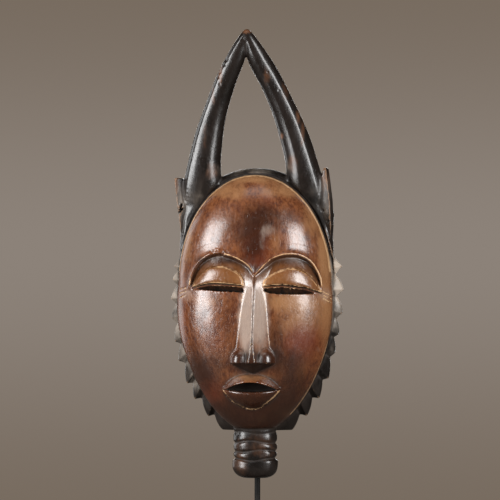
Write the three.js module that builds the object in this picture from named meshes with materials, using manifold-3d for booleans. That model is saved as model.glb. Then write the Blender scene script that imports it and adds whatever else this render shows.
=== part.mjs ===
import * as THREE from 'three';
import { mergeVertices } from 'three/addons/utils/BufferGeometryUtils.js';
import Module from 'manifold-3d';

// A carved wooden face mask whose two horns meet at their tips, held on a rod and a steel foot.
// Millimetres, +Z up, the face looks along -Y. The origin is the centre of the foot's underside.
// A "depth" is a distance in front of the mask's back rim, and x is to the viewer's right.

const foot = { width: 130, depth: 110, height: 10, corner: 4, bevel: 1, socket: 7.7, overcut: 2 };
const rod = {
  radius: 2.6,
  sides: 12,
  clearance: 0.3,
  bendStart: 334,
  bendPull: [0.5, 0.4],
  bendSteps: 8,
  topDepth: 15,
  barHeight: 370.4,
  barLength: 24,
};
const rimSetback = rod.radius + 2 * rod.clearance;

// The face is a dome over an egg-shaped edge, and the hollow behind it is a second, smaller dome.
const face = {
  middle: 295.5,
  halfWidth: 69.3,
  above: 97.7,
  below: 135.9,
  jaw: 0.055,
  edgeDepth: 21,
  dome: 39,
  fullness: 2.2,
  wall: 0.985,
  wallDrop: 4,
  sectors: 60,
};
const hollow = { reach: 0.86, depth: 46, fullness: 2.8 };

// Carving that stands on the face is rooted in it, and cutters start clear in front of it.
const rooted = 6;
const clear = 8;

// The smooth dark band over the forehead, wider where it carries the horns and the two side tabs.
// Its front lip slopes down to a shoulder and then to its side.
const band = {
  inset: 7,
  lip: 1,
  front: 18.5,
  shoulderAt: 0.75,
  shoulder: 14.5,
  side: 9.5,
  back: 0.5,
  from: 7,
  parts: 26,
};
// Reach past the face's edge at each angle above the eye line, in degrees.
const bandReach = [
  [0, 0], [10, 0.8], [20, 2.6], [32, 6.4], [37, 10],
  [43, 16], [51, 15.5], [60, 10], [72, 7.6], [90, 5.8],
];

// The border of teeth round the cheeks. Each tooth slopes out to its tip, with a notch close under it.
const teeth = {
  right: 9,
  left: 10,
  startRight: 10.5,
  startLeft: 11.7,
  corner: 77,
  floor: 132.6,
  underChin: [84, 90, 96],
  notch: 0.34,
  inset: 6,
  back: 0.5,
  edge: 6.5,
  lip: 1,
  ridge: 16,
  groove: 9.5,
  runOut: 5,
};
// Reach past the face's edge of a tip and of a notch, at each angle below the eye line, in degrees.
const tipReach = [[0, 7.6], [35, 8], [55, 12], [77, 12]];
const notchReach = [[0, 2.4], [35, 3], [55, 6.6], [77, 5.6]];

// Each horn is a row of stations: x, height, depth, half width, half depth.
const horns = {
  left: [
    [-61, 346, 7, 6.5, 6],
    [-49.6, 374, 11, 16.6, 10.5],
    [-45.4, 410, 14, 13.9, 12],
    [-37.6, 444, 18, 11.0, 10],
    [-27.0, 475, 24, 9.0, 8.6],
    [-16.3, 498, 30, 8.2, 7.6],
    [-8.6, 515, 34, 5.4, 5.4],
    [-5.8, 521.5, 35, 1.6, 1.8],
  ],
  right: [
    [60, 346, 7, 6.5, 6],
    [47.2, 374, 11, 16.4, 10.5],
    [39.9, 410, 14, 13.7, 12],
    [29.0, 444, 18, 11.7, 10.4],
    [15.6, 475, 24, 10.0, 9],
    [3.0, 498, 30, 9.2, 8],
    [-4.0, 515, 34, 5.6, 5.6],
    [-6.6, 521.3, 35, 1.6, 1.8],
  ],
  steps: 16,
  sides: 12,
  ridgeShift: 0.35,
  ridgeSharpness: 1.4,
  backDepth: 0.9,
};

// The tabs beside the horns: height, inner x, outer x, front depth. The right one ends in a round point.
const tabs = {
  left: [
    [322, -62, -67.6, 14],
    [345, -60, -69.4, 17],
    [366, -60, -72.4, 18],
    [390, -66, -74.6, 17],
  ],
  right: [
    [322, 62, 69, 15],
    [348, 60, 69.6, 19],
    [370, 58, 68.6, 21],
    [388, 59.5, 66.4, 21],
    [396, 61, 65, 19],
    [399, 62, 63.6, 15],
  ],
  back: 1,
  facet: { corner: 0.92, crest: 0.55, height: 2 },
};

// Brow and eye lines run from the nose to the temple: distance from the middle, height.
const browLine = [
  [2.6, 304.5], [7.4, 312], [15.3, 317.9], [24.9, 321.6], [34, 322.8],
  [43, 320], [51.6, 313.4], [57.4, 304], [60, 290.5],
];
const lidLine = [
  [8.5, 296], [14, 301], [21, 306.2], [29, 309.3],
  [38, 309], [46, 305.2], [52.5, 298.8], [57.5, 291.4],
];
const brow = { offset: 1, height: 1.8, width: 3.8, overhang: 0.2, foot: 0.1, steps: 14 };
// The socket under a brow is deepest against the brow and runs out at the lid.
const socket = { recess: 5, fullAt: 8, shallow: 0.35, tuck: 0.6, atLid: 0.7, underLid: 1.5 };
// A lid's bulge over its height, as shares, is highest a third of the way up.
const lid = {
  bulge: 3.2,
  arch: [0.12, 0.9],
  archPower: 0.6,
  ledge: 293.6,
  outerLedge: 290.4,
  least: 0.8,
  shape: [[0, 0.8], [0.35, 1], [0.75, 0.75], [1, -0.1]],
  steps: 9,
};
// The slits are cut downwards from the front, so that nothing shows through them from straight ahead.
const slit = { from: 8.5, to: 55, inner: 6, outer: 2.4, top: 292.6, drop: 2, slope: 0.7, run: 32, steps: 6 };

// Nose sections from the brows to the underside: height, half width, ridge half width, rise over the face.
const nose = [
  [309, 3.4, 1.2, 0.3],
  [302, 3.2, 0.9, 2.4],
  [290, 4, 0.9, 5.8],
  [272, 7.4, 1.1, 9],
  [253, 11.8, 1.4, 12.6],
  [240, 14.4, 2.2, 15.6],
  [224.5, 16.2, 4.6, 18.4],
  [222.4, 15.8, 4.2, 17.4],
  [215.5, 7, 1.6, 2.4],
];
const noseRoot = 4;
const nostril = { out: 12.4, height: 229, rise: 4, radii: [8.4, 10, 8.8], segments: [14, 9] };

const mouth = {
  halfWidth: 25.4,
  cornerHeight: 200.6,
  openTop: 207.6,
  openBottom: 198.6,
  openCurve: 2,
  openSkew: 0.3,
  recess: 7,
  recessTaper: 0.2,
  reach: 0.99,
  taper: 0.93,
  steps: 12,
};
// A lip's edge away from the opening, its height there over the corner, and its bevel.
const upper = { edge: 214.4, corner: 1.2, curve: 2.6, rise: 13, edgeRise: 1, crest: 0.3, tuck: 1 };
const lower = { edge: 183.4, corner: -2, curve: 1.9, rise: 11.5, edgeRise: 0.6, crest: 0.2, tuck: 1.5 };

// The ribbed beard under the chin is a stack of rings over an end knob. The knob's profile is in shares of
// its radius and heights over the bottom, and each ring runs between two heights over its groove.
const beard = {
  depth: 21,
  halfDepth: 15.5,
  bottom: 120,
  top: 172,
  knob: 20.6,
  knobProfile: [[0.62, 0], [0.94, 4], [1, 10.5], [0.95, 15.6]],
  ring: 19.6,
  ringSpan: [2.4, 5],
  groove: 17.9,
  grooves: [137.8, 145.2, 152.6, 159.8, 167.2],
  sides: 20,
};

const wasm = await Module();
wasm.setup();

const place = (x, depth, z) => new THREE.Vector3(x, -rimSetback - depth, z);
const radians = THREE.MathUtils.degToRad;
const mix = THREE.MathUtils.lerp;

// A closed geometry as a solid whose faces point out.
function solid(geometry) {
  const bare = geometry.index ? geometry.toNonIndexed() : geometry.clone();
  bare.deleteAttribute('normal');
  bare.deleteAttribute('uv');
  const merged = mergeVertices(bare, 1e-3);
  const corners = merged.index.array;
  const triangles = [];
  for (let i = 0; i < corners.length; i += 3) {
    const [a, b, c] = [corners[i], corners[i + 1], corners[i + 2]];
    if (a !== b && b !== c && c !== a) triangles.push(a, b, c);
  }
  const vertProperties = merged.attributes.position.array;
  const made = new wasm.Manifold(
    new wasm.Mesh({ numProp: 3, vertProperties, triVerts: new Uint32Array(triangles) }),
  );
  if (made.volume() > 0) return made;
  return new wasm.Manifold(
    new wasm.Mesh({ numProp: 3, vertProperties, triVerts: new Uint32Array(triangles.reverse()) }),
  );
}

function geometryOf(body) {
  const mesh = body.getMesh();
  const geometry = new THREE.BufferGeometry();
  geometry.setAttribute('position', new THREE.BufferAttribute(new Float32Array(mesh.vertProperties), 3));
  geometry.setIndex(new THREE.BufferAttribute(new Uint32Array(mesh.triVerts), 1));
  geometry.computeVertexNormals();
  return geometry;
}

// A closed skin through rings of equally many points, with a fan over each end.
function loft(rings) {
  const count = rings[0].length;
  const points = rings.flat();
  const index = [];
  for (let ring = 0; ring < rings.length - 1; ring++) {
    for (let i = 0; i < count; i++) {
      const a = ring * count + i;
      const b = ring * count + ((i + 1) % count);
      index.push(a, b, b + count, a, b + count, a + count);
    }
  }
  for (const ring of [0, rings.length - 1]) {
    const centre = points.length;
    points.push(rings[ring].reduce((sum, p) => sum.add(p), new THREE.Vector3()).divideScalar(count));
    for (let i = 0; i < count; i++) {
      const a = ring * count + i;
      const b = ring * count + ((i + 1) % count);
      if (ring === 0) index.push(centre, b, a);
      else index.push(centre, a, b);
    }
  }
  return new THREE.BufferGeometry().setFromPoints(points).setIndex(index);
}

// Value of a row of stations at a fraction of its length, each column on one smooth curve.
function along(stations, fraction) {
  const at = fraction * (stations.length - 1);
  const first = Math.min(Math.floor(at), stations.length - 2);
  const t = at - first;
  return stations[0].map((_, column) => {
    const value = (i) => stations[Math.min(Math.max(i, 0), stations.length - 1)][column];
    const [p0, p1, p2, p3] = [value(first - 1), value(first), value(first + 1), value(first + 2)];
    const bend = 2 * p0 - 5 * p1 + 4 * p2 - p3;
    return p1 + 0.5 * t * (p2 - p0 + t * (bend + t * (3 * (p1 - p2) + p3 - p0)));
  });
}

// Unit direction of a row of stations, in its first two columns, at a fraction of its length.
function headingOf(stations, fraction) {
  const [x0, y0] = along(stations, Math.max(0, fraction - 0.02));
  const [x1, y1] = along(stations, Math.min(1, fraction + 0.02));
  const length = Math.hypot(x1 - x0, y1 - y0);
  return [(x1 - x0) / length, (y1 - y0) / length];
}

// Height of a line of points at a position along it, straight between neighbours.
function lookUp(line, at) {
  const next = line.findIndex(([x]) => x >= at);
  if (next <= 0) return next === 0 ? line[0][1] : line[line.length - 1][1];
  const [[x0, y0], [x1, y1]] = [line[next - 1], line[next]];
  return mix(y0, y1, (at - x0) / (x1 - x0));
}

// Distance from the face's middle to its edge, in a direction given in radians above the x axis.
function edgeRadius(angle) {
  const height = Math.sin(angle) > 0 ? face.above : face.below;
  const ellipse = 1 / Math.hypot(Math.cos(angle) / face.halfWidth, Math.sin(angle) / height);
  if (Math.sin(angle) >= 0) return ellipse;
  const down = Math.asin(-Math.sin(angle));
  return ellipse * (1 + face.jaw * Math.sin(2 * down) * Math.cos(1.5 * down));
}

function faceDepth(x, z) {
  const up = z - face.middle;
  const part = Math.min(1, Math.hypot(x, up) / edgeRadius(Math.atan2(up, x)));
  return face.edgeDepth + face.dome * Math.sqrt(1 - part ** face.fullness);
}

// A point out from the face's middle, a given distance past the edge.
function pastEdge(angle, reach, depth) {
  const radius = edgeRadius(angle) + reach;
  return place(radius * Math.cos(angle), depth, face.middle + radius * Math.sin(angle));
}

// The domed front, the side wall, the rim and the hollow as one skin of scaled edge rings.
function shell() {
  const front = [0.1, 0.26, 0.4, 0.52, 0.63, 0.73, 0.82, 0.89, 0.945, 0.98, 0.997];
  const inside = [1, 0.97, 0.9, 0.8, 0.66, 0.48, 0.28, 0.1];
  const levels = [
    ...front.map((part) => [part, face.edgeDepth + face.dome * Math.sqrt(1 - part ** face.fullness)]),
    [1, face.edgeDepth],
    [face.wall, face.edgeDepth - face.wallDrop],
    [face.wall, 0],
    ...inside.map((part) => [part * hollow.reach, hollow.depth * Math.sqrt(1 - part ** hollow.fullness)]),
  ];
  return solid(
    loft(
      levels.map(([part, depth]) =>
        Array.from({ length: face.sectors }, (_, i) => {
          const turn = (i / face.sectors) * 2 * Math.PI;
          const height = Math.sin(turn) > 0 ? face.above : face.below;
          const angle = Math.atan2(height * Math.sin(turn), face.halfWidth * Math.cos(turn));
          const radius = part * edgeRadius(angle);
          return place(radius * Math.cos(angle), depth, face.middle + radius * Math.sin(angle));
        }),
      ),
    ),
  );
}

function foreheadBand() {
  const sections = [];
  for (let i = 0; i <= band.parts; i++) {
    const degrees = mix(band.from, 180 - band.from, i / band.parts);
    const angle = radians(degrees);
    const reach = lookUp(bandReach, Math.min(degrees, 180 - degrees));
    sections.push([
      pastEdge(angle, -band.inset, band.back),
      pastEdge(angle, -band.inset, band.front),
      pastEdge(angle, Math.min(band.lip, reach), band.front),
      pastEdge(angle, reach * band.shoulderAt, band.shoulder),
      pastEdge(angle, reach, band.side),
      pastEdge(angle, reach, band.back),
    ]);
  }
  return solid(loft(sections));
}

// Angles that part a stretch of the face's edge into equal lengths, ends included.
function evenAngles(from, to, parts) {
  const fine = 240;
  const lengths = [0];
  let last = pastEdge(from, 0, 0);
  for (let i = 1; i <= fine; i++) {
    const next = pastEdge(mix(from, to, i / fine), 0, 0);
    lengths.push(lengths[i - 1] + next.distanceTo(last));
    last = next;
  }
  return Array.from({ length: parts + 1 }, (_, part) => {
    const wanted = (part / parts) * lengths[fine];
    return mix(from, to, lengths.findIndex((length) => length >= wanted - 1e-6) / fine);
  });
}

// Sections of a row of teeth between two tips: a notch lies at a share of the way from each tip to the next.
function toothRow(from, to, count, notch) {
  const tips = evenAngles(from, to, count - 1);
  return tips.flatMap((angle, i) => {
    const tip = toothSection(angle, true);
    return i === 0 ? [tip] : [toothSection(mix(tips[i - 1], angle, notch), false), tip];
  });
}

// The border's section is cut off level with the chin, at its floor.
function toothSection(angle, isTip) {
  const down = Math.asin(-Math.sin(angle));
  const reach = lookUp(isTip ? tipReach : notchReach, THREE.MathUtils.radToDeg(down));
  const toFloor = teeth.floor / Math.max(Math.sin(down), 0.5) - edgeRadius(angle);
  const out = Math.min(reach, toFloor);
  const front = isTip ? teeth.ridge : teeth.groove;
  return [
    pastEdge(angle, -teeth.inset, teeth.back),
    pastEdge(angle, -teeth.inset, front),
    pastEdge(angle, -teeth.lip, front),
    pastEdge(angle, out, teeth.edge),
    pastEdge(angle, out, teeth.back),
  ];
}

// The toothed border runs from one temple down round the chin, flat between its two lowest corners.
function toothedBorder() {
  const [rightStart, leftStart] = [teeth.startRight, -180 - teeth.startLeft];
  return solid(
    loft([
      toothSection(radians(rightStart + teeth.runOut), false),
      ...toothRow(radians(rightStart), radians(-teeth.corner), teeth.right, teeth.notch),
      ...teeth.underChin.map((degrees) => toothSection(radians(-degrees), true)),
      ...toothRow(radians(teeth.corner - 180), radians(leftStart), teeth.left, 1 - teeth.notch),
      toothSection(radians(leftStart - teeth.runOut), false),
    ]),
  );
}

// A horn's section is round behind and comes to a soft ridge in front, nearer the outer side.
function horn(stations, outward) {
  const rings = [];
  for (let i = 0; i <= horns.steps; i++) {
    const fraction = i / horns.steps;
    const [x, z, depth, halfWidth, halfDepth] = along(stations, fraction);
    const [dx, dz] = headingOf(stations, fraction);
    const tilt = Math.atan2(dx, dz);
    rings.push(
      Array.from({ length: horns.sides }, (_, side) => {
        const turn = (side / horns.sides) * 2 * Math.PI;
        const front = Math.sin(turn);
        const across = Math.cos(turn) + (front > 0 ? outward * horns.ridgeShift * front ** 2 : 0);
        const forward = front > 0 ? front ** horns.ridgeSharpness : horns.backDepth * front;
        const out = across * halfWidth;
        return place(x + out * Math.cos(tilt), depth + forward * halfDepth, z - out * Math.sin(tilt));
      }),
    );
  }
  return solid(loft(rings));
}

function tab(stations) {
  return solid(
    loft(
      stations.map(([z, inner, outer, front]) => [
        place(inner, tabs.back, z),
        place(outer, tabs.back, z),
        place(mix(inner, outer, tabs.facet.corner), front, z),
        place(mix(inner, outer, tabs.facet.crest), front + tabs.facet.height, z),
        place(inner, front - tabs.facet.height, z),
      ]),
    ),
  );
}

// A ridge of triangular section along the brow, rooted in the face.
function browRidge(side) {
  const rings = [];
  for (let i = 0; i <= brow.steps; i++) {
    const [x, z] = along(browLine, i / brow.steps);
    const [dx, dz] = headingOf(browLine, i / brow.steps);
    const at = (shift, rise) => {
      const px = side * (x - dz * shift) + brow.offset;
      const pz = z + dx * shift;
      return place(px, faceDepth(px, pz) + rise, pz);
    };
    const [inner, outer] = [-brow.overhang, brow.width];
    rings.push([at(inner, -rooted), at(inner, brow.height), at(outer, brow.foot), at(outer, -rooted)]);
  }
  return solid(loft(rings));
}

function browHollow(side) {
  const rings = [];
  for (let i = 0; i <= brow.steps; i++) {
    const [bx, bz] = along(browLine, i / brow.steps);
    const [lx, lz] = along(lidLine, i / brow.steps);
    const high = faceDepth(side * bx, bz);
    const low = faceDepth(side * lx, lz);
    const open = Math.min(1, mix(socket.shallow, 1, Math.hypot(bx - lx, bz - lz) / socket.fullAt));
    const deep = socket.recess * open;
    rings.push([
      place(side * bx + brow.offset, high + clear, bz),
      place(side * bx + brow.offset, high - deep, bz - socket.tuck),
      place(side * lx, low - socket.atLid * deep, lz - socket.underLid),
      place(side * lx, low + clear, lz - socket.underLid),
    ]);
  }
  return solid(loft(rings));
}

// A half-moon lid that bulges over its slit.
function eyelid(side) {
  const rings = [];
  const [first, last] = [lidLine[0][0], lidLine[lidLine.length - 1][0]];
  for (let i = 0; i <= lid.steps; i++) {
    const fraction = i / lid.steps;
    const x = mix(first, last, fraction);
    const top = lookUp(lidLine, x);
    const bottom = Math.min(mix(lid.ledge, lid.outerLedge, fraction ** 2), top - lid.least);
    const bulge = lid.bulge * Math.sin(Math.PI * mix(...lid.arch, fraction)) ** lid.archPower;
    const at = (part, rise) => {
      const z = mix(bottom, top, part);
      return place(side * x, faceDepth(side * x, z) + rise, z);
    };
    const front = lid.shape.map(([part, share]) => at(part, bulge * share));
    rings.push([at(0, -rooted), ...front, at(1, -rooted)]);
  }
  return solid(loft(rings));
}

function eyeSlit(side) {
  const rings = [];
  for (let i = 0; i <= slit.steps; i++) {
    const fraction = i / slit.steps;
    const x = side * mix(slit.from, slit.to, fraction);
    const top = slit.top - slit.drop * fraction;
    const bottom = top - mix(slit.inner, slit.outer, fraction);
    const at = (height, ahead) => place(x, faceDepth(x, top) + ahead, height + slit.slope * ahead);
    rings.push([at(top, clear), at(bottom, clear), at(bottom, -slit.run), at(top, -slit.run)]);
  }
  return solid(loft(rings));
}

function noseBody() {
  const wedge = solid(
    loft(
      nose.map(([z, halfWidth, ridgeHalf, rise]) => {
        const root = faceDepth(halfWidth, z) - noseRoot;
        const ridge = faceDepth(0, z) + rise;
        return [
          place(-halfWidth, root, z),
          place(-halfWidth, root + noseRoot, z),
          place(-ridgeHalf, ridge, z),
          place(ridgeHalf, ridge, z),
          place(halfWidth, root + noseRoot, z),
          place(halfWidth, root, z),
        ];
      }),
    ),
  );
  return [-1, 1].reduce((sum, side) => {
    const ball = new THREE.SphereGeometry(1, ...nostril.segments);
    ball.scale(...nostril.radii);
    const depth = faceDepth(nostril.out, nostril.height) + nostril.rise;
    const centre = place(side * nostril.out, depth, nostril.height);
    ball.translate(centre.x, centre.y, centre.z);
    return sum.add(solid(ball));
  }, wedge);
}

// One lip across the mouth: `section` gives its corners (height, rise over the face) at a fraction out.
function lip(section) {
  const rings = [];
  for (let i = 0; i <= mouth.steps; i++) {
    const out = mix(-mouth.reach, mouth.reach, i / mouth.steps);
    const x = out * mouth.halfWidth;
    rings.push(section(Math.abs(out)).map(([z, rise]) => place(x, faceDepth(x, z) + rise, z)));
  }
  return solid(loft(rings));
}

// Heights of the mouth's opening at a fraction out from its middle: top and bottom.
function opening(out) {
  const share = out ** mouth.openCurve;
  return [
    mix(mouth.openTop, mouth.cornerHeight, share),
    mix(mouth.openBottom, mouth.cornerHeight - mouth.openSkew, share),
  ];
}

function lipSection(shape, inner, out) {
  const edge = mix(shape.edge, mouth.cornerHeight + shape.corner, out ** shape.curve);
  const rise = shape.rise * Math.sqrt(1 - mouth.taper * out ** 2);
  return [
    [edge, -rooted],
    [edge, shape.edgeRise],
    [mix(inner, edge, shape.crest), rise],
    [inner, rise - shape.tuck],
    [inner, -rooted],
  ];
}

const upperLip = (out) => lipSection(upper, opening(out)[0], out);
const lowerLip = (out) => lipSection(lower, opening(out)[1], out);

function mouthRecess(out) {
  const [top, bottom] = opening(out);
  const [front, taper] = [upper.rise + clear, mouth.recessTaper];
  return [[top - taper, -mouth.recess], [top, front], [bottom, front], [bottom + taper, -mouth.recess]];
}

function ribbedBeard() {
  const profile = [
    [0, beard.bottom],
    ...beard.knobProfile.map(([share, up]) => [beard.knob * share, beard.bottom + up]),
  ];
  const [ringFrom, ringTo] = beard.ringSpan;
  for (const height of beard.grooves) {
    profile.push([beard.groove, height]);
    if (height + ringTo > beard.top) continue;
    profile.push([beard.ring, height + ringFrom], [beard.ring, height + ringTo]);
  }
  profile.push([beard.groove, beard.top], [0, beard.top]);
  const lathe = new THREE.LatheGeometry(profile.map(([r, z]) => new THREE.Vector2(r, z)), beard.sides);
  lathe.rotateX(Math.PI / 2);
  lathe.scale(1, beard.halfDepth / beard.ring, 1);
  const centre = place(0, beard.depth, 0);
  lathe.translate(centre.x, centre.y, 0);
  return solid(lathe);
}

function maskBody() {
  const carved = [
    foreheadBand(),
    toothedBorder(),
    horn(horns.left, -1),
    horn(horns.right, 1),
    tab(tabs.left),
    tab(tabs.right),
    ribbedBeard(),
  ].reduce((sum, piece) => sum.add(piece), shell());
  const ridged = [-1, 1].reduce((sum, side) => sum.add(browRidge(side)).subtract(browHollow(side)), carved);
  const lidded = [-1, 1].reduce((sum, side) => sum.add(eyelid(side)), ridged);
  const whole = lidded.add(noseBody()).add(lip(upperLip)).add(lip(lowerLip)).subtract(lip(mouthRecess));
  return [-1, 1].reduce((sum, side) => sum.subtract(eyeSlit(side)), whole);
}

// The rod stands in the foot's socket, runs up behind the rim and bends in under the hollow's roof.
function rodBody() {
  const barDepth = rimSetback + rod.topDepth;
  const bend = new THREE.CubicBezierCurve3(
    new THREE.Vector3(0, 0, rod.bendStart),
    new THREE.Vector3(0, 0, mix(rod.bendStart, rod.barHeight, rod.bendPull[0])),
    new THREE.Vector3(0, -barDepth, mix(rod.bendStart, rod.barHeight, rod.bendPull[1])),
    new THREE.Vector3(0, -barDepth, rod.barHeight),
  );
  const lowest = new THREE.Vector3(0, 0, foot.height - foot.socket + rod.clearance);
  const path = [lowest, ...bend.getPoints(rod.bendSteps)];
  const rings = path.map((point, i) => {
    const before = path[Math.max(i - 1, 0)];
    const after = path[Math.min(i + 1, path.length - 1)];
    const forward = i < 2 ? new THREE.Vector3(0, 0, 1) : after.clone().sub(before).normalize();
    const side = new THREE.Vector3(1, 0, 0);
    const normal = new THREE.Vector3().crossVectors(forward, side);
    return Array.from({ length: rod.sides }, (_, n) => {
      const turn = (n / rod.sides) * 2 * Math.PI;
      return point
        .clone()
        .addScaledVector(side, rod.radius * Math.cos(turn))
        .addScaledVector(normal, rod.radius * Math.sin(turn));
    });
  });
  const bar = new THREE.CylinderGeometry(rod.radius, rod.radius, rod.barLength, rod.sides);
  bar.rotateZ(Math.PI / 2);
  bar.translate(0, -barDepth, rod.barHeight);
  return solid(loft(rings)).add(solid(bar));
}

function footBody() {
  const [w, d, r] = [foot.width / 2 - foot.bevel, foot.depth / 2 - foot.bevel, foot.corner];
  const outline = new THREE.Shape();
  outline.absarc(w - r, d - r, r, 0, Math.PI / 2);
  outline.absarc(r - w, d - r, r, Math.PI / 2, Math.PI);
  outline.absarc(r - w, r - d, r, Math.PI, 1.5 * Math.PI);
  outline.absarc(w - r, r - d, r, 1.5 * Math.PI, 2 * Math.PI);
  outline.closePath();
  const plate = new THREE.ExtrudeGeometry(outline, {
    depth: foot.height - 2 * foot.bevel,
    bevelThickness: foot.bevel,
    bevelSize: foot.bevel,
    bevelSegments: 2,
    curveSegments: 4,
  });
  plate.translate(0, 0, foot.bevel);
  const radius = rod.radius + rod.clearance;
  const bore = new THREE.CylinderGeometry(radius, radius, foot.socket + foot.overcut, rod.sides * 2);
  bore.rotateX(Math.PI / 2);
  bore.translate(0, 0, foot.height - (foot.socket - foot.overcut) / 2);
  return solid(plate).subtract(solid(bore));
}

function named(name, body, material) {
  const mesh = new THREE.Mesh(geometryOf(body), material);
  mesh.name = name;
  return mesh;
}

const stainedWood = new THREE.MeshStandardMaterial({ color: 0x5f3623, roughness: 0.42, metalness: 0 });
const blackSteel = new THREE.MeshStandardMaterial({ color: 0x151515, roughness: 0.5, metalness: 0.3 });

const display = new THREE.Group();
display.add(named('mask', maskBody(), stainedWood));
display.add(named('stand_rod', rodBody(), blackSteel));
display.add(named('stand_base', footBody(), blackSteel));

export default display;
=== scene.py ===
import math

import bpy
import numpy as np
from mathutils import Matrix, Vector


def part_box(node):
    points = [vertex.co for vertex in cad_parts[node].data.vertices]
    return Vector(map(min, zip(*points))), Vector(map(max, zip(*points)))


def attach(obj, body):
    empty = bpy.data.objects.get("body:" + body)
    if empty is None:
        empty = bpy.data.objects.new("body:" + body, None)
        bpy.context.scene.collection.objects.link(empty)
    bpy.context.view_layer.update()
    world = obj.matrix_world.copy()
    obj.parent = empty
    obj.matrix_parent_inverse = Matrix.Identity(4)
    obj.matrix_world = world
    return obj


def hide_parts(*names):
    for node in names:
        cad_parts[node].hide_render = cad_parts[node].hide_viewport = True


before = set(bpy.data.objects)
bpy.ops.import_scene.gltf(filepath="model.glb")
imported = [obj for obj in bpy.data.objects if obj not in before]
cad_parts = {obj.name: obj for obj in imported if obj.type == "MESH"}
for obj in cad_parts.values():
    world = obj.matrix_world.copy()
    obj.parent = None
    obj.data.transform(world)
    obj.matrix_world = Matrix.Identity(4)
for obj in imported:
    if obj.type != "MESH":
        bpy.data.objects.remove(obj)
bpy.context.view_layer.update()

import openvdb
from mathutils import Vector

# A carved and stained wooden face mask on a rod and a steel foot.
# The mask is sculpted in millimetres in one block of clay: x to the viewer's right,
# d forward from the back rim, z up. A negative value is wood, a positive one is air.
# In each form's numbers, "within" is the part of the clay that it changes: x, d and z.
clay = {
    "cell": 0.8,
    "x": (-81.6, 81.6),
    "d": (-3.2, 78.4),
    "z": (116.8, 525.6),
    "far": 6.0,  # no distance in the clay is larger
    "steepest": 0.6,  # slopes under this are left as they are when distances are evened out
    "triangles": 186000,
}
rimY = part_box("mask")[1].y


def axisOf(span):
    return np.arange(span[0], span[1] + clay["cell"] / 2, clay["cell"], dtype=np.float32)


xs, ds, zs = axisOf(clay["x"]), axisOf(clay["d"]), axisOf(clay["z"])
wood = np.full((len(xs), len(ds), len(zs)), clay["far"], np.float32)
flatX, flatZ = xs[:, None], zs[None, :]


def block(x, d, z):
    # the part of the clay between these limits: where it is, and its coordinates
    cut = [
        slice(np.searchsorted(axis, low), np.searchsorted(axis, high))
        for axis, (low, high) in zip((xs, ds, zs), (x, d, z))
    ]
    return tuple(cut), xs[cut[0], None, None], ds[None, cut[1], None], zs[None, None, cut[2]]


def upright(flat, where):
    # a map over x and z, cut to a block and ready to meet its depths
    return flat[where[0], where[2]][:, None, :].astype(np.float32)


# The shapes below are near distances: a bare factor under 1 makes up for a slope.
def softMin(a, b, blend):
    if blend <= 0:
        return np.minimum(a, b)
    near = np.maximum(blend - np.abs(a - b), 0)
    return np.minimum(a, b) - near * near / (4 * blend)


def softMax(a, b, blend):
    return -softMin(-a, -b, blend)


def addClay(where, shape, blend=0.0):
    wood[where] = softMin(wood[where], np.clip(shape, -clay["far"], clay["far"]), blend)


def cutClay(where, shape, blend=0.0):
    wood[where] = softMax(wood[where], -np.clip(shape, -clay["far"], clay["far"]), blend)


def smooth(low, high, value):
    t = np.clip((value - low) / (high - low), 0, 1)
    return t * t * (3 - 2 * t)


def mix(a, b, t):
    return a + (b - a) * t


def smoothLine(points, parts=8):
    # more points between the given ones, on one smooth curve
    rows = np.asarray(points, float)
    padded = np.vstack([2 * rows[:1] - rows[1:2], rows, 2 * rows[-1:] - rows[-2:-1]])
    made = []
    for i in range(len(rows) - 1):
        before, start, end, after = padded[i : i + 4]
        for t in np.arange(parts) / parts:
            bend = 2 * before - 5 * start + 4 * end - after
            curl = 3 * start - before - 3 * end + after
            made.append(start + 0.5 * t * (end - before + t * (bend + t * curl)))
    made.append(rows[-1])
    return np.array(made)


def nearLine(points, x, z):
    # distance to a line of points, +1 on its left side or -1, and the share of it up to the nearest point
    shape = np.broadcast(x, z).shape
    best, side, along = np.full(shape, 1e9), np.ones(shape), np.zeros(shape)
    count = len(points) - 1
    for i in range(count):
        (ax, az), (bx, bz) = points[i][:2], points[i + 1][:2]
        dx, dz = bx - ax, bz - az
        t = np.clip(((x - ax) * dx + (z - az) * dz) / (dx * dx + dz * dz), 0, 1)
        distance = np.hypot(x - ax - t * dx, z - az - t * dz)
        closer = distance < best
        best = np.where(closer, distance, best)
        side = np.where(closer, np.where(dx * (z - az) - dz * (x - ax) >= 0, 1, -1), side)
        along = np.where(closer, (i + t) / count, along)
    return best, side, along


def waves(seed, wavelengths, x, d, z):
    # a smooth uneven field between about -1 and 1
    dice = np.random.default_rng(seed)
    total = 0
    for length in wavelengths:
        way = dice.normal(size=3)
        way *= 2 * math.pi / length / np.linalg.norm(way)
        total = total + np.sin(x * way[0] + d * way[1] + z * way[2] + dice.uniform(0, 6.3))
    return total / math.sqrt(len(wavelengths))


# The face is a dome over an egg-shaped edge, with a hollow behind it.
face = {
    "middle": 295.5,
    "halfWidth": 69.3,
    "above": 97.7,
    "below": 135.9,
    "jaw": 0.055,
    "edgeDepth": 21,
    "dome": 39,
    "fullness": 2.2,
    "uneven": 0.16,
    "within": ((-72, 72), (-3.2, 68), (156, 396)),
}
hollow = {
    "reach": 0.86,
    "depth": 46,
    "fullness": 2.8,
    "gouges": 260,
    "gouge": (5.0, 12.0),
    "gougeDepth": 0.7,
    "gougeLean": 0.25,
    "rim": 1.2,
    "within": ((-70, 70), (-3.2, 52), (160, 392)),
}


def edgeRadius(angle):
    up = np.sin(angle)
    height = np.where(up > 0, face["above"], face["below"])
    oval = 1 / np.hypot(np.cos(angle) / face["halfWidth"], up / height)
    down = np.arcsin(np.clip(-up, 0, 1))
    return oval * (1 + face["jaw"] * np.sin(2 * down) * np.cos(1.5 * down))


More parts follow.
